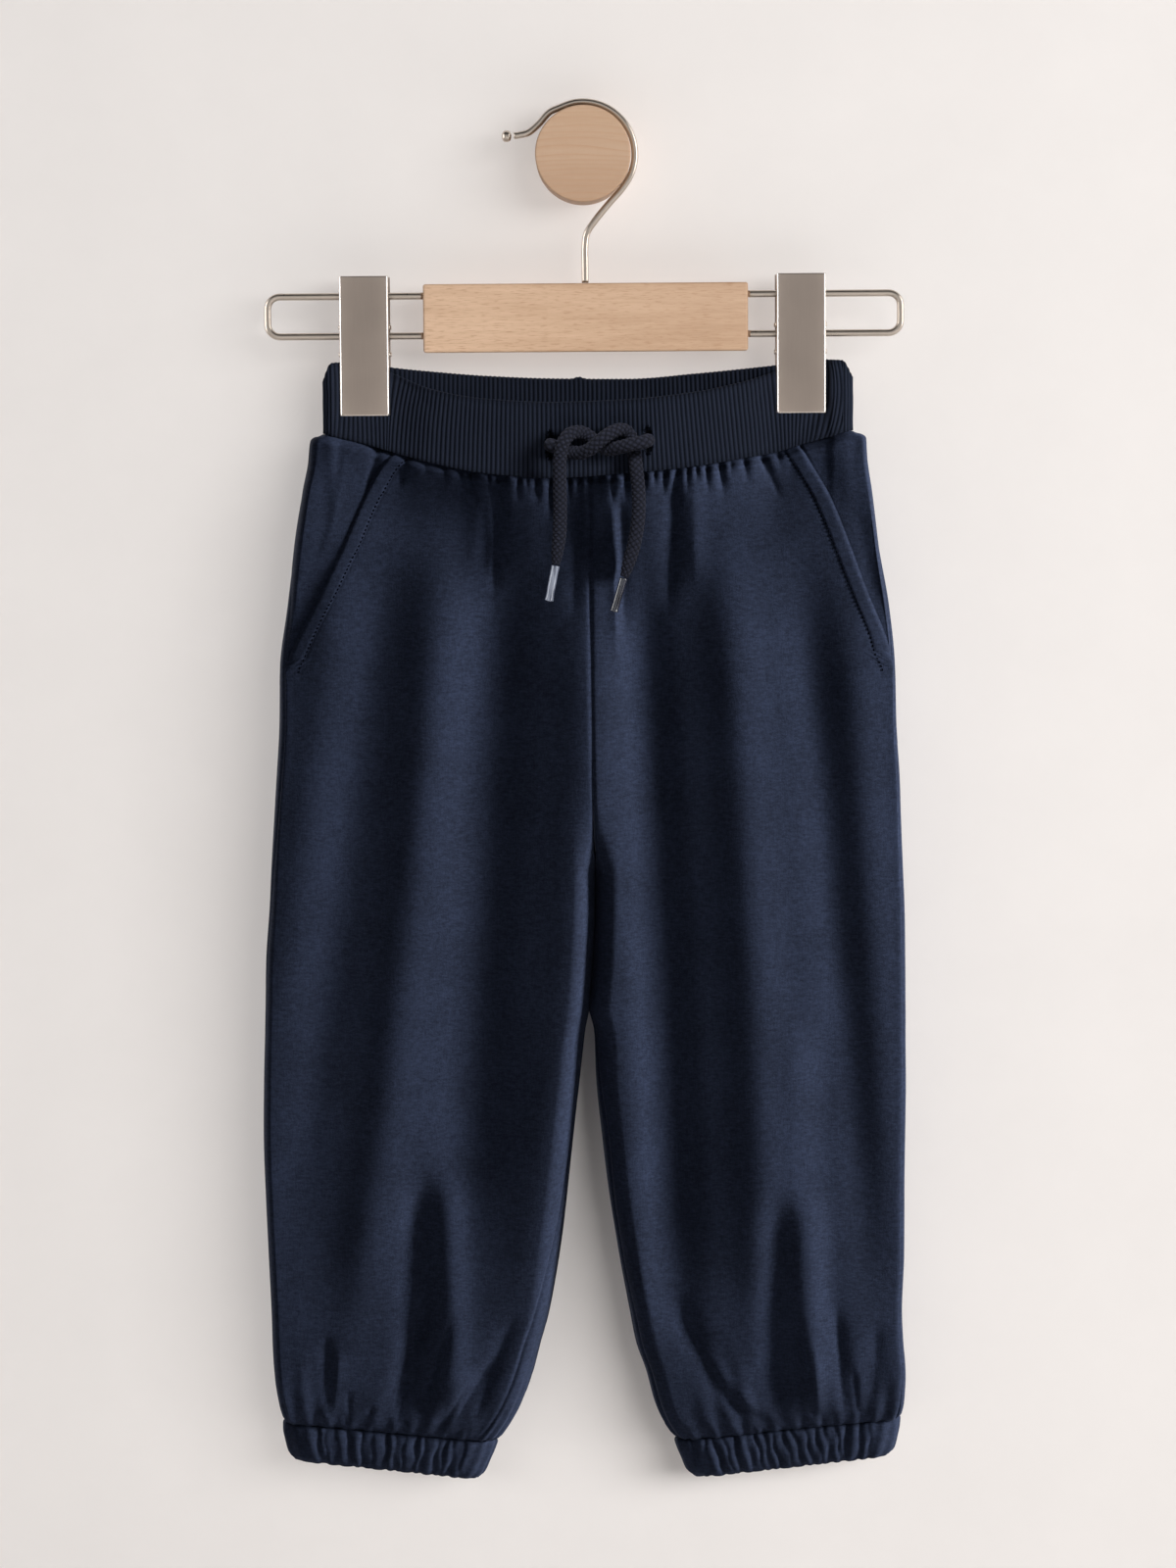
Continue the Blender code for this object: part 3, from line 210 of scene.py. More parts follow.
def nappedFinish(name, cloth):
    return Finish(
        name,
        Sheen_Weight=cloth["nap"],
        Sheen_Roughness=cloth["napSpread"],
        Sheen_Tint=cloth["napTint"],
        Specular_IOR_Level=cloth["gloss"],
    )


jersey = {
    "colour": (0.0140, 0.0192, 0.0370),
    "nap": 0.05,
    "napSpread": 0.45,
    "napTint": (0.38, 0.47, 0.78, 1.0),
    "gloss": 0.06,
    "roughness": 0.90,
    "tones": ((0.40, 0.66), (0.50, 1.0), (0.60, 1.42)),    # place on the ramp, share of the colour
}


def makeJersey():
    finish = nappedFinish("navy jersey", jersey)
    course = finish.noise(finish.place((1.0, 1.0, 2.6)), 350.0, 3.0, 0.62)    # short sideways streaks of yarn
    wale = finish.noise(finish.place((5.0, 5.0, 1.0)), 300.0, 2.0, 0.55)      # faint upright wales
    fine = finish.noise(finish.place((1.0, 1.0, 1.8)), 1300.0, 2.0, 0.6)      # single stitches
    mottle = finish.noise(finish.place(), 38.0, 3.0, 0.55)
    mix = 0.40 * course + 0.18 * wale + 0.24 * fine + 0.18 * mottle
    finish.colour(finish.tones(mix, jersey["colour"], *jersey["tones"]))
    finish.rough(jersey["roughness"] + 0.08 * (mottle - 0.5))
    finish.bump(0.5 * course + 0.2 * wale + 0.3 * fine, 0.00034, 0.7)
    return finish.material


ribKnit = {
    "colour": (0.0190, 0.0245, 0.0420),
    "nap": 0.05,
    "napSpread": 0.5,
    "napTint": (0.42, 0.50, 0.75, 1.0),
    "gloss": 0.06,
    "roughness": 0.90,
    "tones": ((0.22, 0.13), (0.56, 0.90), (0.92, 1.40)),    # painted shade in the grooves, the sides, and painted highlight on the tops of the ribs
}


def makeRibKnit():
    finish = nappedFinish("navy rib knit", ribKnit)
    stitch = finish.noise(finish.place((1.0, 1.0, 1.6)), 950.0, 3.0, 0.6)
    patch = finish.noise(finish.place(), 60.0, 2.0)
    # painted shade and highlight: darker low in the rib grooves, paler on the rib tops
    lift = 0.72 * finish.stored("ribHeight") + 0.18 * stitch + 0.10 * patch
    finish.colour(finish.tones(lift, ribKnit["colour"], *ribKnit["tones"]))
    finish.rough(ribKnit["roughness"] - 0.05 * patch)
    finish.bump(stitch, 0.00022, 0.5)
    return finish.material


braid = {
    "colour": (0.0100, 0.0112, 0.0190),
    "nap": 0.08,
    "napSpread": 0.55,
    "napTint": (0.50, 0.52, 0.65, 1.0),
    "gloss": 0.12,
    "roughness": 0.84,
    "tones": ((0.20, 0.30), (0.58, 1.0), (0.95, 2.2)),    # painted shade in the gaps, the sides, and painted highlight on the tops of the strands
}


def makeBraidFinish():
    finish = nappedFinish("navy braid", braid)
    yarn = finish.noise(finish.place(), 1500.0, 3.0, 0.65)
    # painted shade in the gaps between strands and painted highlight on their tops, from the strand height
    # kept on the mesh
    lift = 0.70 * finish.stored("plait") + 0.38 * yarn
    finish.colour(finish.tones(lift, braid["colour"], *braid["tones"]))
    finish.rough(braid["roughness"] + 0.08 * yarn)
    finish.bump(yarn, 0.0003, 0.6)
    return finish.material


def makeTipFinish(name, base, light, roughness):
    finish = Finish(name, Coat_Weight=0.9, Coat_Roughness=0.06, Specular_IOR_Level=0.6)
    wrap = finish.noise(finish.place((1.0, 1.0, 0.12)), 800.0, 2.0, 0.5, 0.3)
    finish.colour(finish.ramp(wrap, (0.36, base), (0.64, light)))
    finish.rough(roughness + 0.15 * wrap)
    finish.bump(wrap, 0.00025, 0.4)
    return finish.material


thread = {
    "dark": (0.0012, 0.0015, 0.0025),
    "pale": (0.003, 0.004, 0.007),
}


def makeThreadFinish():
    finish = Finish("navy thread", Specular_IOR_Level=0.0)
    twist = finish.noise(finish.place(), 2400.0, 1.0)
    finish.colour(finish.ramp(twist, (0.3, thread["dark"]), (0.7, thread["pale"])))
    finish.rough(0.7 + 0.1 * twist)
    return finish.material


wood = {
    "pale": (0.690, 0.480, 0.330),
    "mid": (0.610, 0.405, 0.265),
    "dark": (0.400, 0.230, 0.130),
    "white": (1.0, 1.0, 1.0),
    "rightEndTint": (0.80, 0.77, 0.74),     # tint of the bar's right end
    "rightEndRun": 6.5,                     # how fast it comes in along the bar, per metre
    "lowerTint": (0.84, 0.80, 0.78),          # tint of the peg's lower part
    "lowerTintRun": 12.0,
    "grainLines": 370.0,                 # lines of grain per metre on the peg's end
    "grainBend": 2.6,
    "roughness": 0.52,
}


def makeBarWood():
    finish = Finish("beech bar", Specular_IOR_Level=0.30)
    along = finish.parts(finish.place())[0]
    drift = finish.noise(finish.place((3.0, 9.0, 30.0)), 3.0, 3.0, 0.5, 0.6)
    streak = finish.noise(finish.place((16.0, 80.0, 260.0)), 3.2, 3.0, 0.6)
    fleck = finish.noise(finish.place((95.0, 500.0, 900.0)), 2.0, 2.0, 0.5)
    figure = 0.55 * drift + 0.45 * streak
    body = finish.ramp(figure, (0.36, shade(wood["mid"], 0.96)), (0.62, wood["pale"]))
    marks = finish.ramp(fleck, (0.53, (0.0, 0.0, 0.0)), (0.68, wood["white"]))
    # the bar's colour darker towards its right end
    towardsRight = finish.ramp(along * wood["rightEndRun"] + 0.5, (0.12, wood["white"]), (0.88, wood["rightEndTint"]))
    body = finish.blend(1.0, body, towardsRight, "MULTIPLY")
    finish.colour(finish.blend(marks * 0.55, body, shade(wood["dark"], 1.0)))
    finish.rough(wood["roughness"] + 0.12 * (streak - 0.5))
    finish.bump(0.6 * fleck + 0.4 * streak, 0.00015, 0.35)
    return finish.material


def makePegWood():
    # flat-sawn end: level lines of grain that bend down to the right, sharp above and soft below
    finish = Finish("beech peg", Specular_IOR_Level=0.30)
    sideways, _, up = finish.parts(finish.place())
    bent = up + wood["grainBend"] * sideways * (sideways + 0.006)
    drift = finish.noise(finish.place((6.0, 6.0, 60.0)), 1.4, 2.0, 0.5)
    count = bent * wood["grainLines"] + 3.2 * drift
    lines = count.fraction() ** 4.0
    pores = finish.noise(finish.place((420.0, 60.0, 60.0)), 2.0, 3.0, 0.6)
    fleck = finish.noise(finish.place((60.0, 30.0, 500.0)), 1.6, 3.0, 0.6)
    figure = 0.6 * drift + 0.4 * fleck
    body = finish.ramp(figure, (0.34, shade(wood["mid"], 0.84)), (0.62, shade(wood["pale"], 0.80)))
    # the peg's colour darker towards its foot
    lowerTint = finish.ramp(up * wood["lowerTintRun"] + 0.5, (0.2, wood["lowerTint"]), (0.75, wood["white"]))
    body = finish.blend(1.0, body, lowerTint, "MULTIPLY")
    tone = finish.blend(lines * (0.15 + 0.75 * drift), body, shade(wood["dark"], 1.15))
    finish.colour(finish.blend(pores * 0.16, tone, shade(wood["mid"], 0.62)))
    finish.rough(0.58 + 0.1 * (fleck - 0.5))
    finish.bump(0.5 * lines + 0.5 * fleck, 0.0002, 0.3)
    return finish.material


nickel = {
    "clip": (0.400, 0.335, 0.292),
    "wire": (0.570, 0.500, 0.434),
    # the bevels' colour: polished metal, made paler still as a painted highlight
    "edge": (0.780, 0.730, 0.690),
    "tones": ((0.12, 0.90), (0.38, 1.08), (0.80, 1.40)),
    "paintedHighlight": 0.42,     # how much paler the clips are towards their edges: a painted highlight
}


def makeNickel(name, colour, brushing, roughness, paintedHighlight=0.0):
    finish = Finish(name, Metallic=1.0)
    grain = finish.noise(finish.place(brushing), 30.0, 3.0, 0.62)
    haze = finish.noise(finish.place(), 45.0, 2.0)
    # painted highlight: the stored share makes the colour paler towards a clip's edges
    tone = 0.16 * grain + 0.34 * haze + paintedHighlight * finish.stored("nearEdge")
    finish.colour(finish.tones(tone, colour, *nickel["tones"]))
    finish.rough(roughness + 0.14 * (grain - 0.5) + 0.05 * (haze - 0.5))
    finish.bump(grain, 0.00004, 0.5)
    return finish.material


jerseyFinish = makeJersey()
ribFinish = makeRibKnit()
braidFinish = makeBraidFinish()
threadFinish = makeThreadFinish()
barFinish = makeBarWood()
pegFinish = makePegWood()
clipFinish = makeNickel("brushed nickel", nickel["clip"], (60.0, 60.0, 2.5), 0.40, nickel["paintedHighlight"])
highlightEdgeFinish = makeNickel("polished nickel edge", nickel["edge"], (6.0, 6.0, 2.0), 0.26)
wireFinish = makeNickel("satin nickel wire", nickel["wire"], (6.0, 6.0, 6.0), 0.30)
clothFinishes = {jerseyFinish, ribFinish, threadFinish}
metalFinishes = {clipFinish, wireFinish, highlightEdgeFinish}
print("finishes mixed")


def addPiece(name, mesh, finish):
    mesh.materials.append(finish)
    piece = bpy.data.objects.new(name, mesh)
    bpy.context.scene.collection.objects.link(piece)
    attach(piece, "root")
    return piece


def makePiece(name, points, faces, finish):
    # a smooth closed mesh from points in millimetres, its faces turned outward
    mesh = bpy.data.meshes.new(name)
    mesh.from_pydata([tuple(point) for point in np.asarray(points) * mm], [], faces)
    mesh.validate()
    mesh.update()
    mesh.shade_smooth()
    shape = bmesh.new()
    shape.from_mesh(mesh)
    bmesh.ops.recalc_face_normals(shape, faces=shape.faces)
    shape.to_mesh(mesh)
    shape.free()
    return addPiece(name, mesh, finish)


def gridFaces(rows, columns, first=0, wrap=False):
    faces = []
    reach = columns if wrap else columns - 1
    for row in range(rows - 1):
        start = first + row * columns
        for column in range(reach):
            a = start + column
            b = start + (column + 1) % columns
            faces.append((a, b, b + columns, a + columns))
    return faces


def shellFaces(rows, columns, innerRows, innerColumns):
    # outer grid first, then an inner grid with every second row and column, joined round the rim
    faces = gridFaces(rows, columns)
    base = rows * columns
    faces += [face[::-1] for face in gridFaces(innerRows, innerColumns, base)]
    outerRim = rimLoop(rows, columns, 0)
    innerRim = rimLoop(innerRows, innerColumns, base)
    count = len(innerRim)
    for k in range(count):
        a, b, c = (outerRim[(2 * k + step) % len(outerRim)] for step in range(3))
        faces.append((c, b, a, innerRim[k], innerRim[(k + 1) % count]))
    return faces


def tubeFaces(rows, sides):
    # rings joined row by row, closed by a fan to the two last points
    faces = gridFaces(rows, sides, 0, True)
    head = rows * sides
    last = head - sides
    faces += [((k + 1) % sides, k, head) for k in range(sides)]
    faces += [(last + k, last + (k + 1) % sides, head + 1) for k in range(sides)]
    return faces


def ringFaces(rows, sides):
    # rings joined row by row, and the last ring joined to the first
    last = (rows - 1) * sides
    closing = [(last + k, last + (k + 1) % sides, (k + 1) % sides, k) for k in range(sides)]
    return gridFaces(rows, sides, 0, True) + closing


def rimLoop(rows, columns, first):
    # the points round a grid's rim, in order
    top = [first + column for column in range(columns - 1)]
    right = [first + row * columns + columns - 1 for row in range(rows - 1)]
    foot = [first + (rows - 1) * columns + column for column in range(columns - 1, 0, -1)]
    left = [first + row * columns for row in range(rows - 1, 0, -1)]
    return top + right + foot + left


def runAlong(points):
    # the distance run to each point of a line
    gaps = np.linalg.norm(np.diff(points, axis=0), axis=1)
    return np.concatenate(((0.0,), np.cumsum(gaps)))


def pointAt(at, run, line):
    # the line's point at a distance run along it
    return np.stack([np.interp(at, run, line[:, k]) for k in range(line.shape[1])], axis=-1)


def levelNormal(along):
    # the level direction square to a line that runs round a tube of cloth
    out = np.stack((along[..., 1], -along[..., 0], 0.0 * along[..., 0]), axis=-1)
    return out / np.linalg.norm(out, axis=-1, keepdims=True)


def storeShare(piece, name, values):
    # kept on the mesh's points, for a finish to read
    layer = piece.data.attributes.new(name, "FLOAT", "POINT")
    layer.data.foreach_set("value", np.asarray(values, dtype=np.float32))


def makeTable(names, rows):
    # columns by name, in order of the first one
    ordered = np.array(sorted(rows), dtype=float)
    return dict(zip(names.split(), ordered.T))


def readSide(table, part, side, at):
    return read(table, part + side.capitalize(), at)


def read(table, column, at):
    # a smooth curve through the table's rows that never overshoots them
    keys = next(iter(table.values()))
    values = table[column]
    slopes = np.diff(values) / np.diff(keys)
    both = slopes[:-1] * slopes[1:]
    total = np.where(both > 0.0, slopes[:-1] + slopes[1:], 1.0)
    turns = np.where(both > 0.0, 2.0 * both / total, 0.0)
    turns = np.concatenate((slopes[:1], turns, slopes[-1:]))
    at = np.clip(at, keys[0], keys[-1])
    k = np.clip(np.searchsorted(keys, at) - 1, 0, len(keys) - 2)
    span = keys[k + 1] - keys[k]
    t = (at - keys[k]) / span
    rise = values[k + 1] - values[k]
    start = turns[k] * span
    end = turns[k + 1] * span
    return values[k] + t * (start + t * (3.0 * rise - 2.0 * start - end + t * (start + end - 2.0 * rise)))


def ease(t):
    t = np.clip(t, 0.0, 1.0)
    return t * t * (3.0 - 2.0 * t)


def bell(distance, width, sharpness=2.0):
    return np.exp(-(np.abs(distance / width) ** sharpness))


# Drawstring: two free ends, each a list of points with x, y, z in metres and the share of its thickness.
cordRoutes = {
    "cord_left": [
        (0.0284, -0.0386, -0.1298, 0.9), (0.0286, -0.0426, -0.1299, 1.0), (0.0278, -0.0466, -0.1302, 1.0),
        (0.0250, -0.0492, -0.1308, 1.0), (0.0206, -0.0496, -0.1316, 1.0), (0.0158, -0.0476, -0.1328, 1.0),
        (0.0110, -0.0436, -0.1336, 1.0), (0.0066, -0.0420, -0.1320, 1.0), (0.0026, -0.0420, -0.1284, 1.0),
        (-0.0018, -0.0436, -0.1260, 1.0), (-0.0066, -0.0476, -0.1266, 1.0), (-0.0100, -0.0502, -0.1310, 1.0),
        (-0.0114, -0.0502, -0.1380, 1.0), (-0.0116, -0.0494, -0.1480, 1.0), (-0.0115, -0.0490, -0.1600, 1.0),
        (-0.0119, -0.0494, -0.1720, 1.0), (-0.0129, -0.0500, -0.1800, 0.86), (-0.0136, -0.0504, -0.1856, 0.6),
    ],
    "cord_right": [
        (-0.0158, -0.0388, -0.1314, 0.9), (-0.0154, -0.0419, -0.1318, 1.0), (-0.0122, -0.0427, -0.1328, 1.0),
        (-0.0084, -0.0424, -0.1342, 1.0), (-0.0046, -0.0432, -0.1352, 1.0), (-0.0006, -0.0460, -0.1350, 1.0),
        (0.0036, -0.0488, -0.1326, 1.0), (0.0080, -0.0496, -0.1288, 1.0), (0.0132, -0.0470, -0.1256, 1.0),
        (0.0180, -0.0428, -0.1252, 1.0), (0.0212, -0.0417, -0.1292, 1.0), (0.0224, -0.0426, -0.1360, 1.0),
        (0.0234, -0.0456, -0.1440, 1.0), (0.0242, -0.0478, -0.1540, 1.0), (0.0239, -0.0488, -0.1650, 1.0),
        (0.0221, -0.0490, -0.1760, 1.0), (0.0192, -0.0490, -0.1860, 0.9), (0.0174, -0.0492, -0.1915, 0.6),
    ],
}

cord = {
    "diameter": 0.0065,   # this and the other lengths are in metres
    "strands": 6,
    "pitch": 0.0027,
    "relief": 0.00055,
    "sides": 64,
    "step": 0.00024,
    "slack": 0.025,       # how much it swells and thins, as a share of its radius
    "slackTurn": 4500.0,
}

tipShape = {
    "radius": 0.00196,
    "waist": 0.06,        # how much it narrows in the middle, as a share
    "lip": 0.00012,
    "endRounding": 0.0005,
    "oval": 0.10,
    "sides": 32,
}

# The two ends of each tip.
tips = {
    "tip_left": ((-0.0137, -0.0505, -0.1861), (-0.0169, -0.0509, -0.2021)),
    "tip_right": ((0.0172, -0.0492, -0.1920), (0.0126, -0.0496, -0.2073)),
}


def smoothRoute(points, step):
    # a smooth curve through the points, read off at even steps, and its length
    points = [np.array(point, dtype=float) for point in points]
    padded = [2.0 * points[0] - points[1]] + points + [2.0 * points[-1] - points[-2]]
    fine = []
    for a, b, c, d in zip(padded, padded[1:], padded[2:], padded[3:]):
        for t in np.arange(0.0, 1.0, 0.0625):
            fine.append(0.5 * (2.0 * b + (c - a) * t + (2.0 * a - 5.0 * b + 4.0 * c - d) * t ** 2
                               + (3.0 * b - a - 3.0 * c + d) * t ** 3))
    fine.append(points[-1])
    fine = np.array(fine)
    run = runAlong(fine[:, :3])
    wanted = np.linspace(0.0, run[-1], max(2, int(round(run[-1] / step))) + 1)
    return pointAt(wanted, run, fine), run[-1]


def tubeFrames(path):
    # directions square to the path that never twist about it
    ahead = np.gradient(path, axis=0)
    ahead = ahead / np.linalg.norm(ahead, axis=1, keepdims=True)
    side = np.cross(ahead[0], (0.0, 0.0, 1.0) if abs(ahead[0][2]) < 0.8 else (0.0, 1.0, 0.0))
    side = side / np.linalg.norm(side)
    sides = [side]
    for direction in ahead[1:]:
        side = side - direction * np.dot(side, direction)
        side = side / np.linalg.norm(side)
        sides.append(side)
    sides = np.array(sides)
    return sides, np.cross(ahead, sides)


def tubeMesh(name, path, radii, finish):
    # radii: one row for each path point, one column for each side
    sides = radii.shape[1]
    over, up = tubeFrames(path)
    turn = 2.0 * math.pi * np.arange(sides) / sides
    ring = np.cos(turn)[None, :, None] * over[:, None, :] + np.sin(turn)[None, :, None] * up[:, None, :]
    points = (path[:, None, :] + ring * radii[..., None]).reshape(-1, 3)
    points = np.concatenate((points, path[:1], path[-1:]))
    return makePiece(name, points / mm, tubeFaces(len(path), sides), finish)


def plait(turnShare, run):
    # over-and-under strands of a round braid, from 0 in a gap to 1 on top of a strand
    first = cord["strands"] * turnShare + run / cord["pitch"]
    second = cord["strands"] * turnShare - run / cord["pitch"]
    onTop = (np.floor(first) + np.floor(second)) % 2.0 < 1.0
    crossing = np.where(onTop, first, second)
    running = np.where(onTop, second, first)
    rise = np.sin(math.pi * (crossing % 1.0))
    swell = np.sin(math.pi * (running % 1.0))
    return rise ** 0.7 * (0.45 + 0.55 * swell)


def makeCord(name, route):
    path, length = smoothRoute(route, cord["step"])
    run = np.linspace(0.0, length, len(path))[:, None]
    turnShare = (np.arange(cord["sides"]) / cord["sides"])[None, :]
    height = plait(turnShare, run)
    scale = path[:, 3:4]
    slack = 1.0 + cord["slack"] * np.sin(cord["slackTurn"] * run) * np.sin(2.0 * math.pi * turnShare)
    radii = (0.5 * cord["diameter"] * scale * slack) - cord["relief"] * (1.0 - height)
    piece = tubeMesh("braided_" + name, path[:, :3], radii, braidFinish)
    # the strand height, for the braid's painted shade and highlight
    storeShare(piece, "plait", np.concatenate((height.reshape(-1), (0.0, 0.0))))
    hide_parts(name)
    tip = makeTip(name.replace("cord", "tip"))


def makeTip(name):
    head, foot = (np.array(point) for point in tips[name])
    rows = (np.linspace(0.0, 0.12, 5), np.linspace(0.16, 0.9, 14), np.linspace(0.92, 1.0, 5))
    shares = np.concatenate(rows)
    path = head + (foot - head) * shares[:, None]
    turn = 2.0 * math.pi * np.arange(tipShape["sides"]) / tipShape["sides"]
    oval = 1.0 - tipShape["oval"] * np.sin(turn + 0.7) ** 2
    body = tipShape["radius"] * (1.0 - tipShape["waist"] * np.sin(math.pi * shares))
    body = body + tipShape["lip"] * bell(shares - 0.97, 0.03)
    body = body - tipShape["endRounding"] * ease((shares - 0.985) / 0.015)
    radii = body[:, None] * oval[None, :]
    piece = tubeMesh("film_" + name, path, radii, tipFinishes[name])
    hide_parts(name)
    return piece


tipFinishes = {
    "tip_left": makeTipFinish("film tip hazy", (0.090, 0.105, 0.160), (0.30, 0.34, 0.44), 0.20),
    "tip_right": makeTipFinish("film tip dark", (0.006, 0.007, 0.012), (0.030, 0.034, 0.055), 0.08),
}

for name, route in cordRoutes.items():
    makeCord(name, route)
print("drawstring tied")


# The garment's form, in mm: the sections and outlines of its solids, with folds and edges worked finer.
garment = {
    "seamGap": -0.2,                  # the legs' cloth meets at the centre seam
    "bandCloth": 2.2,                 # thickness of the rib knit
    "hangDepth": -26.0,               # y of the plane that it hangs in
    "waistLevel": -126.0,
    "cuffLevel": -586.5,
    "cuffSlant": 10.0,                # how much lower the inner end of each cuff lies
    "slantStart": -520.0,
    "cuffHeight": 18.6,
    "crotchLevel": -326.0,
    "crotchRise": 34.0,               # over this height the seam rounds under
    "waistBlend": 50.0,               # below the seam, the band's depth gives way to the leg's
    "waistPuff": 2.0,
    "puffReach": 4.0,
    "dipReach": 105.0,                # how far down the seam's curve is felt
    "edgeShare": 0.19,                # share of a face's columns that goes round each edge
    "innerEdge": 10.5,                # how far in each edge rounds off
    "outerEdge": {"left": 4.5, "right": 2.5},
    "backEdge": 20.0,
    "edgeTaper": (-540.0, 50.0, 0.15),    # the inner edge tightens above the cuff: level, reach, share
    "foldFade": 0.22,                 # share of a long fold that fades at each end
}

bandRows = makeTable("x frontTop frontSeam backTop backSeam frontDepth backDepth seamDepth", [
    (-120, -102.5, -126, -102.5, -126, 4.6, 4.6, 5.4),
    (-116, -94.8, -127, -94.8, -127, 4.8, 4.8, 5.8),
    (-111.5, -94.6, -128.2, -94.4, -127.8, 3, 3, 4.8),
    (-100, -95.4, -131.1, -94.8, -129.5, 2.8, 2.8, 4.8),
    (-88.5, -99.3, -134.6, -96.9, -131, 3, 3, 5.4),
    (-70, -106.9, -139.7, -98.9, -133, 7.4, 5.8, 9.6),
    (-45, -111.4, -144.6, -101, -135, 10.4, 8, 12.6),
    (-14, -113.1, -146.8, -102.4, -136.5, 12, 9, 14),
    (20, -112.1, -144.8, -102.8, -136.5, 11.8, 9, 13.6),
    (52, -108.7, -141.7, -100.5, -134.6, 9.6, 7.6, 11.8),
    (75, -103.8, -138, -98.4, -132.6, 6.2, 5.4, 8.2),
    (87.5, -99.9, -135.9, -97.1, -131.2, 3, 3, 5.2),
    (99, -95.8, -132.5, -95.4, -129.8, 2.8, 2.8, 4.8),
    (110.5, -94.8, -129.4, -94.6, -128.6, 3, 3, 4.8),
    (113.5, -94.9, -128.6, -94.7, -128, 5.1, 4.6, 5.6),
    (118, -95, -127.2, -95, -127.2, 4.6, 4.6, 5.4),
    (123, -102, -126.2, -102, -126.2, 3.4, 3.4, 4.6),
])

legRows = makeTable("z outerLeft innerLeft innerRight outerRight front back edge", [
    (-126, -120.2, 2, 2, 122.6, 14, 13, 5),
    (-127.2, -123.9, 2, 2, 126.3, 14.3, 13.3, 6.5),
    (-129.5, -125.9, 2, 2, 128.7, 15, 14, 9),
    (-140, -127.2, 2, 2, 129.3, 16, 14.5, 15),
    (-152, -129.8, 2, 2, 130.9, 17, 15.5, 20),
    (-179, -133.7, 2, 2, 134.5, 18.5, 16.5, 26),
    (-206, -137.3, 2, 2, 139, 19, 17.5, 29),
    (-233, -141.3, 2, 2, 141.8, 19.5, 18, 30),
    (-260, -142.1, 2.2, 2.2, 142.7, 19.5, 18, 30),
    (-287, -143.9, 2.6, 2.6, 144.5, 19, 18, 30),
    (-315, -145.7, 3.4, 3.4, 145.4, 18.5, 17.5, 30),
    (-326, -146.4, 3.8, 3.8, 145.8, 18.5, 17.5, 30),
    (-342, -147.4, 3.6, 3.6, 146.4, 18, 17, 30),
    (-369.5, -149.7, 2, 2, 146.9, 17.5, 17, 30),
    (-392, -150.3, 0.2, 0.2, 147.2, 17.1, 16.6, 30),
    (-397, -150.5, -0.8, 1.4, 147.3, 17, 16.5, 30),
    (-404, -150.7, -2.2, 2.9, 147.3, 16.9, 16.4, 30),
    (-425, -151.4, -4.4, 3.5, 147.4, 16.5, 16, 30),
    (-453, -151.8, -7.7, 6, 146.9, 16, 16, 30),
    (-480.5, -151.3, -11.1, 9, 146.5, 16, 15.5, 30),
    (-508.5, -150.4, -15, 13.4, 146.5, 15.5, 15, 29),
    (-536.5, -149.4, -19.8, 18.8, 145.6, 15.5, 15, 28),
    (-550.5, -149.1, -23.6, 21.4, 146.1, 15, 15, 26),
    (-564.5, -148.4, -27.4, 26, 147, 14.5, 14.5, 23),
    (-578.8, -146.3, -33, 29.6, 146.1, 12.5, 12.5, 19),
    (-587, -144.3, -37.4, 32.8, 144.3, 10, 10, 15),
    (-597, -142.5, -44.4, 38.9, 142.5, 8.5, 8.5, 13),
])

cuffRows = makeTable("drop outerLeft innerLeft innerRight outerRight depth", [
    (0, -144.4, -44.4, 38.9, 144.4, 8.8),
    (5, -144.5, -46.2, 40.5, 144, 9.6),
    (10, -143.6, -48.4, 42.6, 143, 9.4),
    (15, -142.4, -50.6, 44.6, 141.8, 8.6),
    (18.6, -140.6, -53.2, 47.6, 139.8, 7.4),
])

pocketRows = makeTable("z left right", [
    (-126, -88, 98.5),
    (-134, -93.6, 102.6),
    (-152, -101.9, 111.3),
    (-176, -111.2, 120),
    (-200, -122.3, 128.8),
    (-220, -132.6, 137),
    (-233, -138.4, 140.6),
])

seamRows = makeTable("z sideLeft sideRight inseamLeft inseamRight", [
    (-126, 1.6, 0.5, 0, 0),
    (-206, 2, 0.9, 0, 0),
    (-233, 2.9, 1.2, 0, 0),
    (-262, 3.3, 1.5, 0, 0),
    (-350, 1.2, 1.9, 0, 0),
    (-400, 0.6, 2, 0, 0.4),
    (-453, 0.3, 2, 0.8, 2.5),
    (-487, 0.3, 2, 2, 1.6),
    (-520, 0.3, 2, 5, 1.2),
    (-550, 0.3, 2, 8, 2),
    (-597, 0.3, 2, 9.8, 1.2),
])

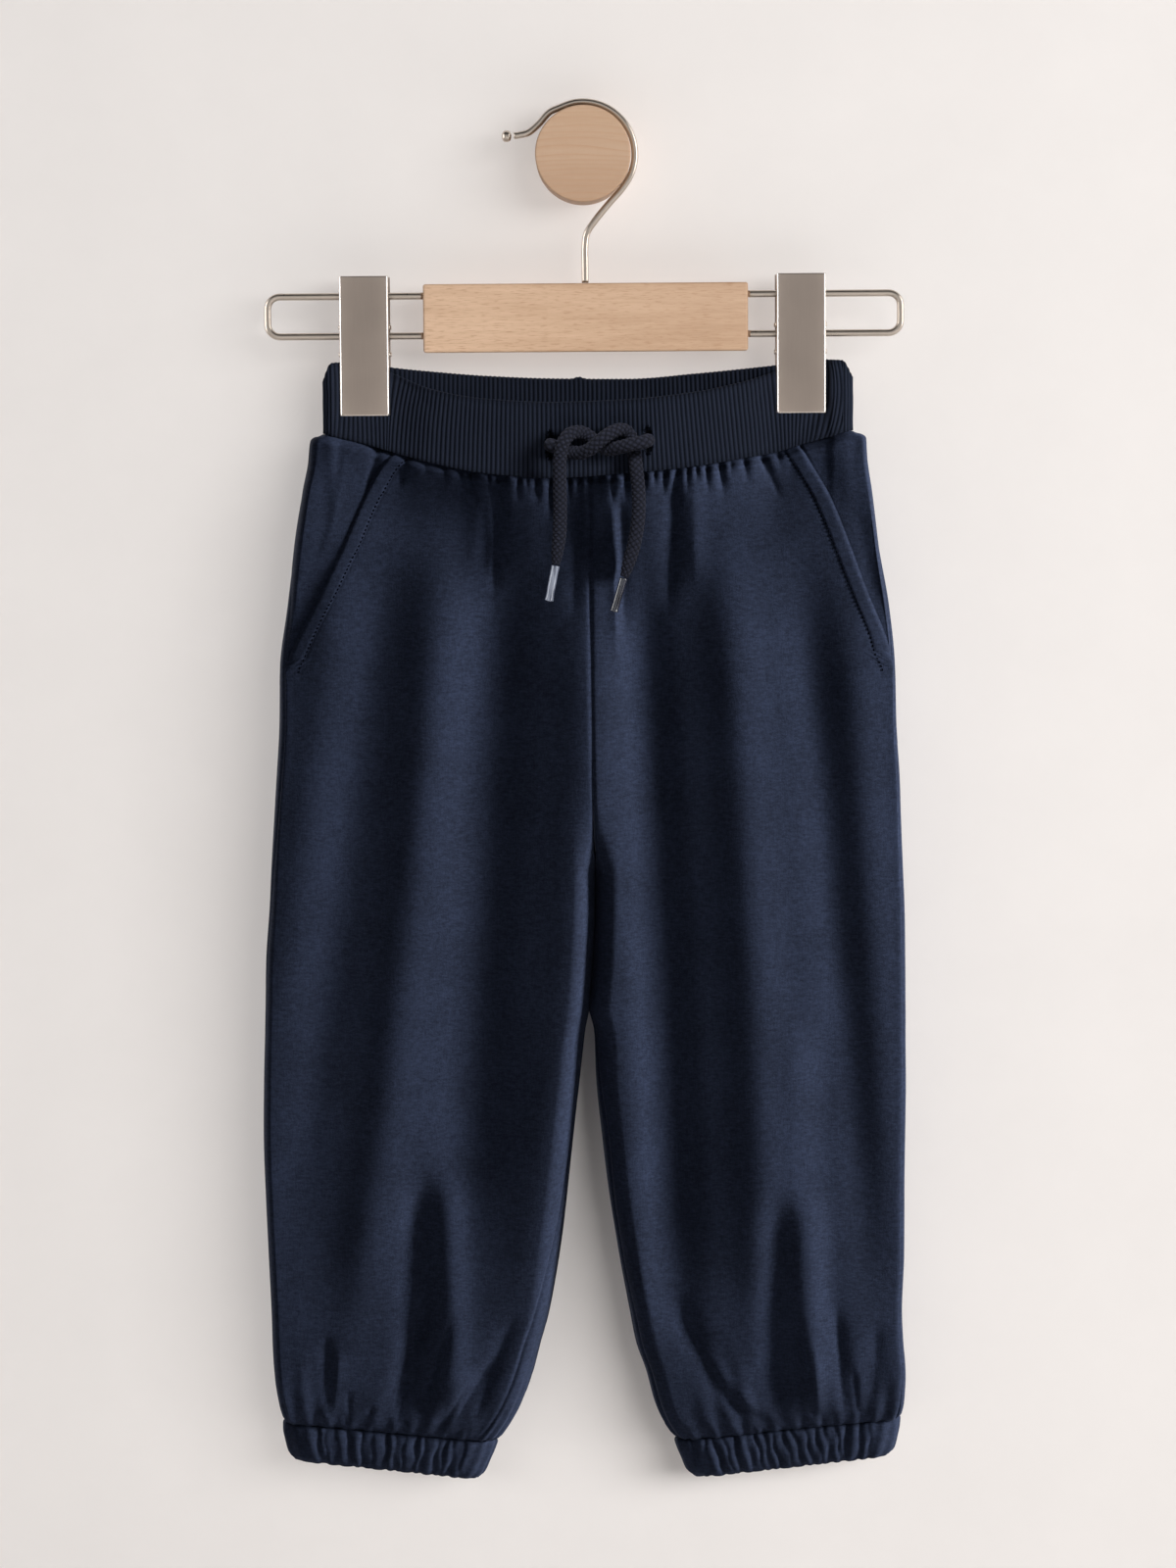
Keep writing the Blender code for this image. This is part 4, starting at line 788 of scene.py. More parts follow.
# Long soft folds: face, xHead, zHead, xFoot, zFoot, bow, width, height.
longFolds = [
    (front, -108, -150, -148, -430, 1, 11, 1.3),
    (front, -86, -150, -140, -510, 2, 12, -1.7),
    (front, -62, -145, -116, -575, 6, 13, 3.5),
    (front, -38, -150, -60, -520, 1, 15.5, -4.8),
    (front, 2, -150, -36, -570, 12, 17, 4.1),
    (front, -79, -460, -84, -592, 0, 7, -2.8),
    (front, -66, -460, -64, -594, 0, 7, 2.6),
    (front, 21, -150, 41, -575, 3, 12, -4.8),
    (front, 15, -330, 25, -570, 0, 8, 1.4),
    (front, 62, -145, 84, -575, 2, 14, 4.6),
    (front, 97, -160, 131, -560, 1, 12, -3.4),
    (front, 117, -185, 140, -500, 3, 10, 0.8),
    (front, 143, -160, 151, -600, 0, 15, -2.6),
    (front, 93, -380, 98, -570, 0, 7, 1.1),
    (front, 107, -380, 113, -570, 0, 7, -1.1),
    (front, 86, -470, 85, -592, 0, 7, -2.8),
    (front, 101, -470, 104, -592, 0, 8, 2.8),
    (back, -112, -160, -138, -430, -2, 13, 2.6),
    (back, -84, -150, -112, -520, -3, 13, -3.4),
    (back, -52, -150, -78, -570, 4, 14, 3),
    (back, -22, -170, -44, -560, 0, 12, -3),
    (back, 24, -165, 50, -570, -3, 13, -3.2),
    (back, 58, -150, 84, -575, -4, 14, 3),
    (back, 90, -155, 112, -540, 2, 13, -3.4),
    (back, 118, -180, 134, -480, 2, 11, 2.4),
]

# Smaller creases, in the same columns with a sharpness at the end.
creases = [
    (front, 11.6, -143, 13.4, -236, 0, 2.6, 1.5, 1.3),
    (front, 15.4, -143, 18, -226, 0, 3.4, -1.7, 1.4),
    (front, -4.5, -143, -6, -215, 0, 3.6, -1.1, 1.6),
    (front, -40.5, -140, -42.5, -205, 0, 3, -1.6, 1.4),
    (front, -46.5, -140, -52, -196, 0, 5, 1.2, 1.6),
    (front, 40.5, -140, 37, -212, 0, 4.2, -1.7, 1.4),
    (front, 49, -138, 50, -200, 0, 5, 1.1, 1.6),
    (front, 80.5, -133, 89, -158, 0, 2.2, -0.8, 1.4),
    (front, -80.5, -131, -85.5, -152, 0, 2, -0.9, 1.5),
    (front, -123.6, -540, -123, -584, 0, 3.6, -1.7, 1.4),
    (front, -116.7, -548, -120.7, -586, 0, 3, 1, 1.6),
    (front, -113.3, -568, -113.3, -589, 0, 2.2, -1, 1.4),
    (front, -101.7, -576, -106.4, -590, 0, 2, -0.9, 1.4),
    (front, -75.6, -520, -94.8, -591, 0, 4.2, -2.3, 1.4),
    (front, -84.1, -560, -92.1, -590, 0, 2.6, -1.2, 1.4),
    (front, -63, -530, -84.1, -590, 0, 4.2, -1.6, 1.5),
    (front, -56.6, -566, -71.6, -591, 0, 3, -1.3, 1.4),
    (front, -43.7, -552, -66.2, -590, 0, 4.2, -1.9, 1.4),
    (front, -34, -530, -56.6, -592, -1, 4.2, -1.5, 1.5),
    (front, 40.5, -520, 80.7, -592, -9, 5.6, -2.5, 1.5),
    (front, 49, -545, 87, -588, -7, 6, 1.3, 2),
    (front, 94.5, -532, 98.6, -584, -1, 2.8, -2.1, 1.3),
    (front, 103, -545, 105.7, -584, 0, 3.4, 1.3, 1.6),
    (front, 100.6, -555, 103.9, -588, 0, 2, -0.9, 1.4),
    (front, 113.7, -528, 117.8, -586, 0, 3.2, -1.6, 1.4),
    (front, 121.8, -560, 124.5, -586, 0, 2.2, -1.1, 1.4),
    (front, 132.8, -536, 131.4, -583, 0, 4.4, -1.3, 1.6),
    (back, -30, -138, -36, -190, 0, 4, -1.3, 1.5),
    (back, 34, -138, 42, -196, 0, 4, -1.3, 1.5),
    (back, -70, -136, -79, -182, 0, 3.6, 1.1, 1.6),
    (back, 74, -136, 83, -178, 0, 3.6, 1.1, 1.6),
    (back, -6, -300, -52, -352, 6, 7, -1.6, 1.8),
    (back, 10, -300, 54, -356, -6, 7, -1.6, 1.8),
    (back, -84, -535, -92, -588, 0, 4.2, -1.8, 1.4),
    (back, -112, -548, -118, -586, 0, 3.4, -1.5, 1.4),
    (back, -58, -546, -70, -590, 0, 3.8, -1.6, 1.4),
    (back, 58, -546, 68, -590, 0, 3.8, -1.6, 1.4),
    (back, 88, -534, 96, -588, 0, 4.2, -1.8, 1.4),
    (back, 118, -552, 121, -586, 0, 3.2, -1.4, 1.4),
]

# Pinches where the cloth is gathered into the waist seam: x, length, depth, width, drift.
waistPinches = {
    (front, "left"): [
        (-73, 9, 0.5, 2.2, 0), (-64.5, 11, 0.6, 2, 0.05), (-57.4, 15, 0.9, 1.9, 0.20),
        (-52.9, 22, 1.4, 2.2, 0.26), (-44.4, 12, 1, 1.7, 0.10), (-39.9, 27, 1.6, 2.4, 0.12),
        (-36.4, 10, 0.9, 1.5, 0), (-30.5, 15, 1.1, 1.8, -0.05), (-26.6, 9, 0.7, 1.4, 0),
        (-22.4, 14, 1.2, 1.8, 0.05), (-15.8, 26, 1.5, 2.2, -0.03), (-11.4, 11, 0.9, 1.6, 0),
        (-7.4, 16, 1.1, 1.7, 0.02), (-3.4, 12, 0.8, 1.5, 0),
    ],
    (front, "right"): [
        (6.2, 12, 0.7, 1.6, 0), (11.9, 24, 1.3, 1.8, 0.02), (18.2, 14, 1.1, 1.9, 0),
        (22.6, 11, 0.9, 1.6, 0), (26.9, 13, 1.1, 1.7, 0), (31.5, 10, 0.9, 1.5, 0),
        (36.1, 16, 1.2, 1.8, -0.04), (41.9, 25, 1.6, 2.4, -0.10), (46.8, 14, 1.2, 1.7, -0.04),
        (50.8, 10, 0.9, 1.4, 0), (55.3, 17, 1.2, 1.8, 0.04), (61.5, 20, 1.3, 2, 0.10),
        (66.6, 10, 0.7, 1.6, 0), (72.7, 15, 1, 1.9, 0.14), (80.8, 16, 0.9, 1.9, 0.30),
        (87.9, 9, 0.6, 1.6, 0.20),
    ],
    (back, "left"): [
        (-104, 10, 0.6, 2.2, 0.05), (-96, 14, 0.9, 2, 0.08), (-88.5, 11, 0.8, 1.9, 0.05),
        (-80, 20, 1.3, 2.3, 0.10), (-73.6, 12, 0.9, 1.8, 0), (-66, 24, 1.4, 2.3, 0.10),
        (-59.4, 11, 0.9, 1.7, 0), (-52.8, 15, 1.1, 1.9, 0.05), (-45.6, 19, 1.3, 2.1, 0.04),
        (-39.8, 10, 0.8, 1.6, 0), (-33, 22, 1.4, 2.2, 0.05), (-26.2, 12, 0.9, 1.8, 0),
        (-19, 17, 1.2, 2, 0.02), (-12, 11, 0.9, 1.7, 0), (-5.4, 14, 1, 1.7, 0),
    ],
    (back, "right"): [
        (8.8, 13, 0.9, 1.7, 0), (15.2, 18, 1.2, 2, 0), (21.8, 11, 0.9, 1.7, 0),
        (28.6, 23, 1.4, 2.2, 0.05), (35, 12, 0.9, 1.7, 0), (42.4, 16, 1.1, 1.9, 0.05),
        (48.8, 21, 1.3, 2.2, 0.05), (56, 11, 0.9, 1.7, 0), (62.2, 18, 1.2, 2, 0.08),
        (70, 13, 1, 1.9, 0.05), (77.4, 22, 1.3, 2.2, 0.10), (85, 11, 0.8, 1.8, 0.05),
        (92.6, 15, 1, 2, 0.08), (101, 10, 0.7, 2.1, 0.05),
    ],
}

# Grooves in the cuffs, which the gathers above run into: x at the seam, x at the hem, depth.
cuffGrooves = {
    "left": [
        (-128.5, -126.7, 0.8), (-124.8, -124.3, 0.9), (-119.8, -118.5, 0.7), (-114.5, -112.2, 1.1),
        (-107.8, -107.8, 1.3), (-102.4, -102.9, 0.7), (-95.3, -97.1, 1.6), (-91.7, -93, 0.9),
        (-87.3, -89.5, 0.7), (-81.2, -84.1, 1.4), (-77.4, -81.2, 1.1), (-71.6, -75.2, 1.3),
        (-67.8, -71.6, 1), (-64, -67.8, 1.1), (-59, -63.2, 0.7),
    ],
    "right": [
        (45.6, 52, 0.9), (52.3, 56.1, 1.1), (56.1, 62.7, 1.4), (61, 67, 0.8), (66.2, 70.6, 1.5),
        (71.6, 76, 0.7), (76.2, 80.7, 1.3), (80, 84.4, 0.8), (83.8, 88.5, 1.3), (88.8, 94.6, 0.8),
        (93.2, 99.9, 1.3), (99.3, 103.9, 1.1), (104, 108.4, 0.8), (108.4, 112.4, 1.2),
        (114, 116.9, 1), (118.6, 118.6, 1.1), (125.3, 125.3, 1.2), (129.8, 129.4, 1),
    ],
}


def readFace(table, part, face, at):
    # the front's or the back's column, by the face that each point lies on
    return np.where(face == front, read(table, "front" + part, at), read(table, "back" + part, at))


def lineHeight(rows, face, x, z, fade):
    # height of soft ridges and troughs, each running down a bowed line
    total = np.zeros_like(x)
    for row in rows:
        side, xHead, zHead, xFoot, zFoot, bow, width, height = row[:8]
        sharpness = row[8] if len(row) > 8 else 2.0
        along = (zHead - z) / (zHead - zFoot)
        line = xHead + (xFoot - xHead) * along + 4.0 * bow * along * (1.0 - along)
        strength = height * ease(along / fade) * ease((1.0 - along) / fade)
        total = total + np.where(face == side, strength * bell(x - line, width, sharpness), 0.0)
    return total


def across(u, width, outerEdge, innerEdge, keep):
    # distance in from the outer edge, and the share of the full depth, for place u from 0 to 1
    share = garment["edgeShare"]
    outerTurn = 0.5 * math.pi * np.clip(u / share, 0.0, 1.0)
    innerTurn = 0.5 * math.pi * np.clip((1.0 - u) / share, 0.0, 1.0)
    flat = width - outerEdge - innerEdge
    middle = np.clip((u - share) / (1.0 - 2.0 * share), 0.0, 1.0)
    distance = outerEdge * (1.0 - np.cos(outerTurn)) + flat * middle + innerEdge * np.cos(innerTurn)
    return distance, np.sin(outerTurn) * (keep + (1.0 - keep) * np.sin(innerTurn))


def placeAcross(distance, width, outerEdge, innerEdge):
    # the place u at a distance in from the outer edge
    share = garment["edgeShare"]
    flat = width - outerEdge - innerEdge
    onOuter = share * np.arccos(np.clip(1.0 - distance / outerEdge, 0.0, 1.0)) / (0.5 * math.pi)
    onFlat = share + (1.0 - 2.0 * share) * (distance - outerEdge) / flat
    leftOver = np.clip(1.0 - (width - distance) / innerEdge, 0.0, 1.0)
    onInner = 1.0 - share * np.arccos(leftOver) / (0.5 * math.pi)
    return np.where(distance < outerEdge, onOuter, np.where(distance < width - innerEdge, onFlat, onInner))


def legWidths(side, level):
    # the two outlines, how far in their edges round off, and the slant towards the cuff
    slantRun = garment["slantStart"] - garment["cuffLevel"]
    slant = garment["cuffSlant"] * ease((garment["slantStart"] - level) / slantRun)
    halfGap = 0.5 * garment["seamGap"]
    outer = readSide(legRows, "outer", side, level)
    inner = readSide(legRows, "inner", side, level - slant) + (-halfGap if side == "left" else halfGap)
    taperStart, taperRun, taper = garment["edgeTaper"]
    innerEdge = garment["innerEdge"] * (1.0 - taper * ease((taperStart - level) / taperRun))
    outerEdge = np.minimum(read(legRows, "edge", level), garment["outerEdge"][side])
    return outer, inner, outerEdge, innerEdge, slant


def legCloth(side, face, u, level):
    # a point on the cloth's middle; u runs on past 0 and 1 on to the other face
    below = level <= garment["crotchLevel"]
    face = np.where((u < 0.0) | ((u > 1.0) & below), -face, face)
    u = np.abs(u)
    u = np.where(u > 1.0, np.where(below, 2.0 - u, 1.0), u)
    outer, inner, outerEdge, innerEdge, slant = legWidths(side, level)
    backEdge = np.minimum(read(legRows, "edge", level), garment["backEdge"])
    outerEdge = np.where(face == front, outerEdge, backEdge)
    rise = garment["crotchRise"]
    turnUnder = np.clip((garment["crotchLevel"] + rise - level) / rise, 0.0, 1.0)
    width = np.abs(inner - outer)
    distance, fullness = across(u, width, outerEdge, innerEdge, np.sqrt(1.0 - turnUnder ** 2))
    share = distance / width
    x = outer + (inner - outer) * share
    seam = readFace(bandRows, "Seam", face, x)
    below = garment["waistLevel"] - level
    z = level + (seam - garment["waistLevel"]) * (1.0 - ease(below / garment["dipReach"])) - slant * share
    blend = ease(below / garment["waistBlend"])
    puff = garment["waistPuff"] * ease(below / garment["puffReach"])
    seat = readFace(legRows, "", face, level)
    depth = read(bandRows, "seamDepth", x) * (1.0 - blend) + seat * blend + puff * (1.0 - blend)
    depth = (depth + lineHeight(longFolds, face, x, z, garment["foldFade"])) * fullness
    return np.stack((x, garment["hangDepth"] + face * depth, z), axis=-1)


def legFrame(side, face, u, level):
    # the point and the outward direction there, from its neighbours
    stepU = 0.003
    stepZ = 0.5
    point = legCloth(side, face, u, level)
    over = legCloth(side, face, u + stepU, level) - legCloth(side, face, u - stepU, level)
    down = legCloth(side, face, u, level - stepZ) - legCloth(side, face, u, level + stepZ)
    normal = np.cross(over, down)
    normal = normal / np.linalg.norm(normal, axis=-1, keepdims=True)
    outward = face if side == "left" else -face
    return point, normal * outward[..., None]


def splitLoop(loop, panelFace):
    # face and place u of a place round the leg: 0 to 1 on the front, 1 to 2 on the back
    onFront = (loop < 1.0) | ((loop == 1.0) & (panelFace == front)) | (loop > 2.0)
    face = np.where(onFront, front, back)
    u = np.where(loop <= 1.0, loop, np.where(loop <= 2.0, 2.0 - loop, loop - 2.0))
    return face, u


def panelEnds(side, panelFace, level):
    # where a panel starts and ends round the leg: side seam or pocket mouth, and inseam
    outer, inner, outerEdge, innerEdge = legWidths(side, level)[:4]
    width = np.abs(inner - outer)
    sideSeam = placeAcross(readSide(seamRows, "side", side, level), width, outerEdge, innerEdge)
    wrap = readSide(seamRows, "inseam", side, level)
    inseam = placeAcross(width - wrap, width, outerEdge, innerEdge)
    inseam = np.where(level < garment["crotchLevel"], inseam, 1.0)
    if panelFace == front:
        mouth = placeAcross(np.abs(read(pocketRows, side, level) - outer), width, outerEdge, innerEdge)
        return np.where(level > pocket["foot"], np.maximum(sideSeam, mouth), sideSeam), inseam
    return inseam, 2.0 + sideSeam


panel = {
    "columns": 260,
    "rows": 236,
    "backColumns": 200,
    "backRows": 190,
    "shell": 1.2,                    # thickness of the jersey
    "waves": 12,
    "waveHeight": 0.30,
    "waveReach": (24.0, 8.0),        # how far the waves below the waist reach, and how unevenly
    "cuffWaves": 16,
    "cuffWaveHeight": 0.45,
    "cuffWaveReach": (34.0, 14.0),
    "cuffPinch": 0.775,              # strength of the notches over the cuff
    "waistPinch": 1.35,
    "pinchRidge": 0.34,              # the ridge beside each notch, as a share of its depth
    "seamEdge": (0.7, 1.2),          # where each edge rolls under: depth and width
    "waistEdge": (0.8, 1.4),
    "cuffEdge": (0.8, 1.3),
    "creaseFade": 0.30,
    "softness": 0.18,
    "innerFollows": 0.55,            # how much of the relief shows on the inside
    "bandTuck": (1.2, 1.8),          # seam allowance: how far in and how far past the seam
    "cuffTuck": (1.6, -1.2),
}

pocket = {
    "columns": 61,
    "rows": 91,
    "foot": -233.0,          # level where the mouth meets the side seam
    "overlap": 9.0,          # how far the pocket back runs on behind the front panel
    "sink": 1.0,             # how deep it lies at the mouth
    "tuck": 1.6,             # and how much deeper behind the panel
    "closes": 10.0,          # width of the mouth at which it has sunk fully
    "underlap": 1.6,         # the same at the side seam
    "under": 1.5,
    "tail": 8.0,             # how far it runs on below the mouth
    "ramp": 0.8,             # share of the way to the mouth's edge over which it sinks
    "slopes": 22.0,          # and never further from that edge than this
    "bandShare": 0.45,       # how much of the sinking is left at the waistband
    "bandReach": 18.0,       # and how far below it the sinking is full
    "stitchInset": 7.6,      # from the mouth's edge to its row of stitches
    "stitchGroove": 0.22,
    "edgeLift": 0.30,        # how much the hem stands up
}


def clothSeed(side, face):
    # so that no two faces have the same small folds
    return (1.3 if side == "left" else 4.1) + np.where(face == front, 0.0, 2.2)


def waves(u, count, seed):
    # uneven waves across a face, from -1 to 1
    drift = 0.16 * np.sin(6.0 * u + seed) + 0.10 * np.sin(17.0 * u + 2.0 * seed)
    swell = 0.78 + 0.22 * np.sin(11.0 * u + 3.0 * seed)
    return swell * np.cos(2.0 * math.pi * (count * u + drift))


def pinchHeight(rows, x, below):
    # narrow notches at the waist seam that open out and fade as they run down
    total = np.zeros_like(x)
    for place, length, depth, width, drift in rows:
        run = below / length
        strength = panel["waistPinch"] * depth * (1.0 - ease(run)) * ease(0.35 + below / 2.0)
        off = x - place - drift * below
        total = total - strength * bell(off, width * (0.62 + 0.55 * run), 1.4)
        total = total + panel["pinchRidge"] * strength * bell(off - 1.9 * width, 1.2 * width)
    return total


def cuffPinchHeight(side, x, above, seed):
    # notches over the cuff that meet its grooves
    total = np.zeros_like(x)
    for number, (place, foot, depth) in enumerate(cuffGrooves[side]):
        length = 7.0 + 5.0 * math.sin(2.3 * number + seed)
        strength = panel["cuffPinch"] * depth * (1.0 - ease(above / length)) * ease(0.4 + above / 2.0)
        lean = (place - foot) / garment["cuffHeight"]
        total = total - strength * bell(x - place - lean * above, 1.25 + 0.10 * above, 1.6)
    return total


def clothRelief(side, face, u, level, point):
    # height of all small folds on a leg
    x, z = point[..., 0], point[..., 2]
    seed = clothSeed(side, face)
    below = garment["waistLevel"] - level
    above = level - garment["cuffLevel"]
    reach, uneven = panel["waveReach"]
    waistFade = 1.0 - ease(below / (reach + uneven * np.sin(23.0 * u + seed)))
    relief = panel["waveHeight"] * waistFade * waves(u, panel["waves"], seed) * ease((u - 0.18) / 0.12)
    for panelFace in (front, back):
        notch = pinchHeight(waistPinches[panelFace, side], x, below)
        relief = relief + np.where(face == panelFace, notch, 0.0)
    reach, uneven = panel["cuffWaveReach"]
    cuffFade = 1.0 - ease(above / (reach + uneven * np.sin(19.0 * u + 2.0 * seed)))
    relief = relief + panel["cuffWaveHeight"] * cuffFade * waves(u, panel["cuffWaves"], seed)
    shifted = np.where(face == front, x, x + 1.7)    # so that the back's notches lie between the front's
    relief = relief + cuffPinchHeight(side, shifted, above, 1.0 if side == "left" else 2.0)
    relief = relief + lineHeight(creases, face, x, z, panel["creaseFade"])
    wander = np.sin(0.045 * x + 0.021 * z + seed) * np.sin(0.031 * z - 0.026 * x + 2.0 * seed)
    small = np.sin(0.11 * x + 0.5 * np.sin(0.05 * z)) * np.sin(0.052 * z + 1.7 * seed)
    return relief + panel["softness"] * (2.0 * wander + 0.8 * small)


def edgeRoll(distance, roll, width):
    # cloth that rolls down at a seam
    return -roll * bell(distance, width)


def rowLength(points):
    # distance of each point from the start and from the end of its row
    steps = np.linalg.norm(np.diff(points, axis=1), axis=2)
    start = np.concatenate((np.zeros((len(points), 1)), np.cumsum(steps, axis=1)), axis=1)
    return start, start[:, -1:] - start


def denseShares(count, end=0.0035, ends=5):
    # shares from 0 to 1 that crowd together near both ends
    tight = np.array([0.0, 0.22, 0.5, 0.8, 1.2]) * end
    middle = np.linspace(1.7 * end, 1.0 - 1.7 * end, count - 2 * ends)
    return np.concatenate((tight, middle, 1.0 - tight[::-1]))


def panelLevels(count):
    # rows that crowd together near the waist and the cuff
    t = np.linspace(0.0, 1.0, count)
    t = t - 0.115 * np.sin(2.0 * math.pi * t) - 0.012 * np.sin(4.0 * math.pi * t)
    head = garment["waistLevel"] - 0.2
    return head + (garment["cuffLevel"] + 0.2 - head) * t


def tuckIn(grid, normal, tuck, row):
    # the seam allowance: the edge row goes in behind the neighbouring piece and past its edge
    inward, past = tuck
    grid[row] = grid[row] - normal[row] * inward
    grid[row, :, 2] = grid[row, :, 2] + past


def makeCloth(name, outer, inner, restsOn):
    # a fine outer grid and a coarser inner one, joined round the rim
    points = np.concatenate((outer.reshape(-1, 3), inner.reshape(-1, 3)))
    faces = shellFaces(*outer.shape[:2], *inner.shape[:2])
    piece = makePiece("cloth_" + name, points, faces, jerseyFinish)
    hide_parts(name)


def makePanel(name, side, panelFace, columns, rows):
    columns += 1 - columns % 2    # odd counts, so that the inner grid can skip every second one
    rows += 1 - rows % 2
    level = panelLevels(rows)[:, None]
    start, end = panelEnds(side, panelFace, level)
    loop = start + (end - start) * denseShares(columns)[None, :]
    face, u = splitLoop(loop, panelFace)
    levels = np.broadcast_to(level, loop.shape)
    point, normal = legFrame(side, face, u, levels)
    relief = clothRelief(side, face, u, levels, point)
    fromStart, fromEnd = rowLength(point)
    relief = relief + edgeRoll(fromStart, *panel["seamEdge"]) + edgeRoll(fromEnd, *panel["seamEdge"])
    relief = relief + edgeRoll(garment["waistLevel"] - levels, *panel["waistEdge"])
    relief = relief + edgeRoll(levels - garment["cuffLevel"], *panel["cuffEdge"])
    if panelFace == front:
        onMouth = ease((levels - pocket["foot"] + 6.0) / 8.0)
        hem = ease(fromStart / 1.2) * (1.0 - ease((fromStart - pocket["stitchInset"] + 1.0) / 1.6))
        stitched = bell(fromStart - pocket["stitchInset"], 0.7)
        relief = relief + onMouth * (pocket["edgeLift"] * hem - pocket["stitchGroove"] * stitched)
    outer = point + normal * relief[..., None]
    inner = point - normal * (panel["shell"] - panel["innerFollows"] * relief[..., None])
    for grid in (outer, inner):
        tuckIn(grid, normal, panel["bandTuck"], 0)
        tuckIn(grid, normal, panel["cuffTuck"], -1)
    makeCloth(name, outer, inner[::2, ::2], "waistband")
    return outer, normal


frontGrids = {}
for side in ("left", "right"):
    frontGrids[side] = makePanel("front_" + side, side, front, panel["columns"], panel["rows"])
    makePanel("back_" + side, side, back, panel["backColumns"], panel["backRows"])
print("leg panels draped")


pocketCreases = [
    (front, -102, -126, -120, -196, 0, 5, 1, 2),
    (front, -113, -130, -129, -200, 0, 5, -0.6, 2),
    (front, -93.5, -126, -99.5, -154, 0, 1.8, -1.1, 1.5),
    (front, -119, -150, -131, -214, 0, 4, 0.7, 2),
    (front, 117, -130, 129, -196, 0, 5, 0.4, 2),
    (front, 121, -150, 134, -214, 0, 4, -0.6, 2),
]


def makePocketBack(name, side):
    # it lies sunk under the front panel's edge, and comes up to the side seam
    head = garment["waistLevel"] - 0.2
    level = np.linspace(head, pocket["foot"] - pocket["tail"], pocket["rows"])[:, None]
    outer, inner, outerEdge, innerEdge = legWidths(side, level)[:4]
    width = np.abs(inner - outer)
    seam = readSide(seamRows, "side", side, level)
    mouth = np.maximum(np.abs(read(pocketRows, side, level) - outer), seam)
    covered = 1.0 - ease((mouth - seam) / pocket["closes"])
    start = placeAcross(np.maximum(seam - pocket["underlap"], 0.05), width, outerEdge, innerEdge)
    edge = placeAcross(mouth, width, outerEdge, innerEdge)
    end = placeAcross(mouth + pocket["overlap"], width, outerEdge, innerEdge)
    u = start + (end - start) * np.linspace(0.0, 1.0, pocket["columns"])[None, :]
    levels = np.broadcast_to(level, u.shape)
    face = np.full(u.shape, front)
    point, normal = legFrame(side, face, u, levels)
    ramp = ease((u - start) / np.maximum(pocket["ramp"] * (edge - start), 0.001))
    toMouth = mouth - np.abs(point[..., 0] - outer)
    below = garment["waistLevel"] - levels
    nearBand = pocket["bandShare"] + (1.0 - pocket["bandShare"]) * ease(below / pocket["bandReach"])
    ramp = ramp * (1.0 - ease(toMouth / pocket["slopes"])) * np.where(toMouth > 0.0, nearBand, 1.0)
    past = np.maximum(0.0, (u - edge) / (end - edge))
    under = 1.0 - ease((rowLength(point)[0] - 0.5) / 1.4)
    sink = pocket["sink"] * np.maximum(ramp, covered) + pocket["tuck"] * past + pocket["under"] * under
    x, z = point[..., 0], point[..., 2]
    slack = 0.25 * np.sin(0.16 * x + 0.05 * z) + 0.2 * np.sin(0.09 * z + 0.11 * x + 1.0)
    relief = slack * (1.0 - ramp * 0.5) + lineHeight(pocketCreases, face, x, z, 0.3)
    relief = relief + edgeRoll(below, *panel["waistEdge"])
    lifted = np.minimum(relief, 0.6 + (0.3 * sink - 0.6) * np.maximum(ramp, covered))
    top = point + normal * (lifted - sink)[..., None]
    tuckIn(top, normal, panel["bandTuck"], 0)
    lining = top - normal * panel["shell"]    # the same cloth's inner side
    makeCloth(name, top, lining[::2, ::2], "front_" + side)


for side in ("left", "right"):
    makePocketBack("pocket_back_" + side, side)
print("pocket backs set in")


band = {
    "cut": (0.486, 0.045),   # the gathered tube's way round and height, in metres
    "ribs": 244,             # all the way round
    "ribPoints": 6,
    "ribHeight": 0.66,
    "ribCrown": 0.6,         # under 1 for broad ribs with narrow grooves
    "uneven": 0.16,
    "placeLength": 376.0,    # mm for each step of 1 in place, for the lean
    "edge": 5.0,             # how far in each end rounds off
    "outerRows": 34,
    "innerRows": 12,
    "foldDrop": 0.014,       # how high the fold stands, as a share of the band's height
    "foldRise": 1.1,
    "backSeam": -2.6,        # x of the seam at the centre back
    "backSeamWidth": 2.2,
    "backSeamHeight": 0.9,
}

# How far the ribs lean to the right on their way down the band, and bow, by place across the front.
ribLean = makeTable("x lean bow", [
    (-123, 0, 0), (-112, -0.6, 0.6), (-100, 1.2, 0), (-92, 0.2, 0), (-86, -4.4, -0.9),
    (-72, -3, -0.6), (-50, -1.4, -0.2), (-20, 0, 0), (24, 0.6, 0), (36, 2, 0),
    (60, 3, 0), (84, 3, 0.2), (92, 1, 0), (99, -2.4, 0), (106, -4.4, 0.8),
    (112, -2.8, 2.6), (118, -1.5, 2.4), (123, -0.5, 0.6),
])

# Soft dents in the band, in the columns of the long folds.
bandDents = [
    (front, 113, -108, 100, -131, 0, 2.6, -0.9),
    (front, 106.5, -114, 96, -131.5, 0, 2.2, -0.7),
    (front, -84, -101, -66, -118, 0, 3, -0.5),
    (front, 86, -103, 74, -120, 0, 3, -0.5),
    (front, -117.5, -103, -118, -121, 0, 1.8, -0.5),
]

buttonholes = {
    "places": ((-15.8, -131.6), (28.6, -130.0)),    # x and z
    "width": 3.2,
    "height": 12.0,
    "depth": 1.5,
    "rim": 0.35,
    "threads": 34,
    "thread": 0.24,
    "looseEnds": 7,
    "looseThread": 0.11,
}


def foldLoop(loop):
    # face and place u of a place round a closed tube: 0 to 1 on the front, 1 to 2 on the back
    loop = loop % 2.0
    return np.where(loop <= 1.0, front, back), np.where(loop <= 1.0, loop, 2.0 - loop)


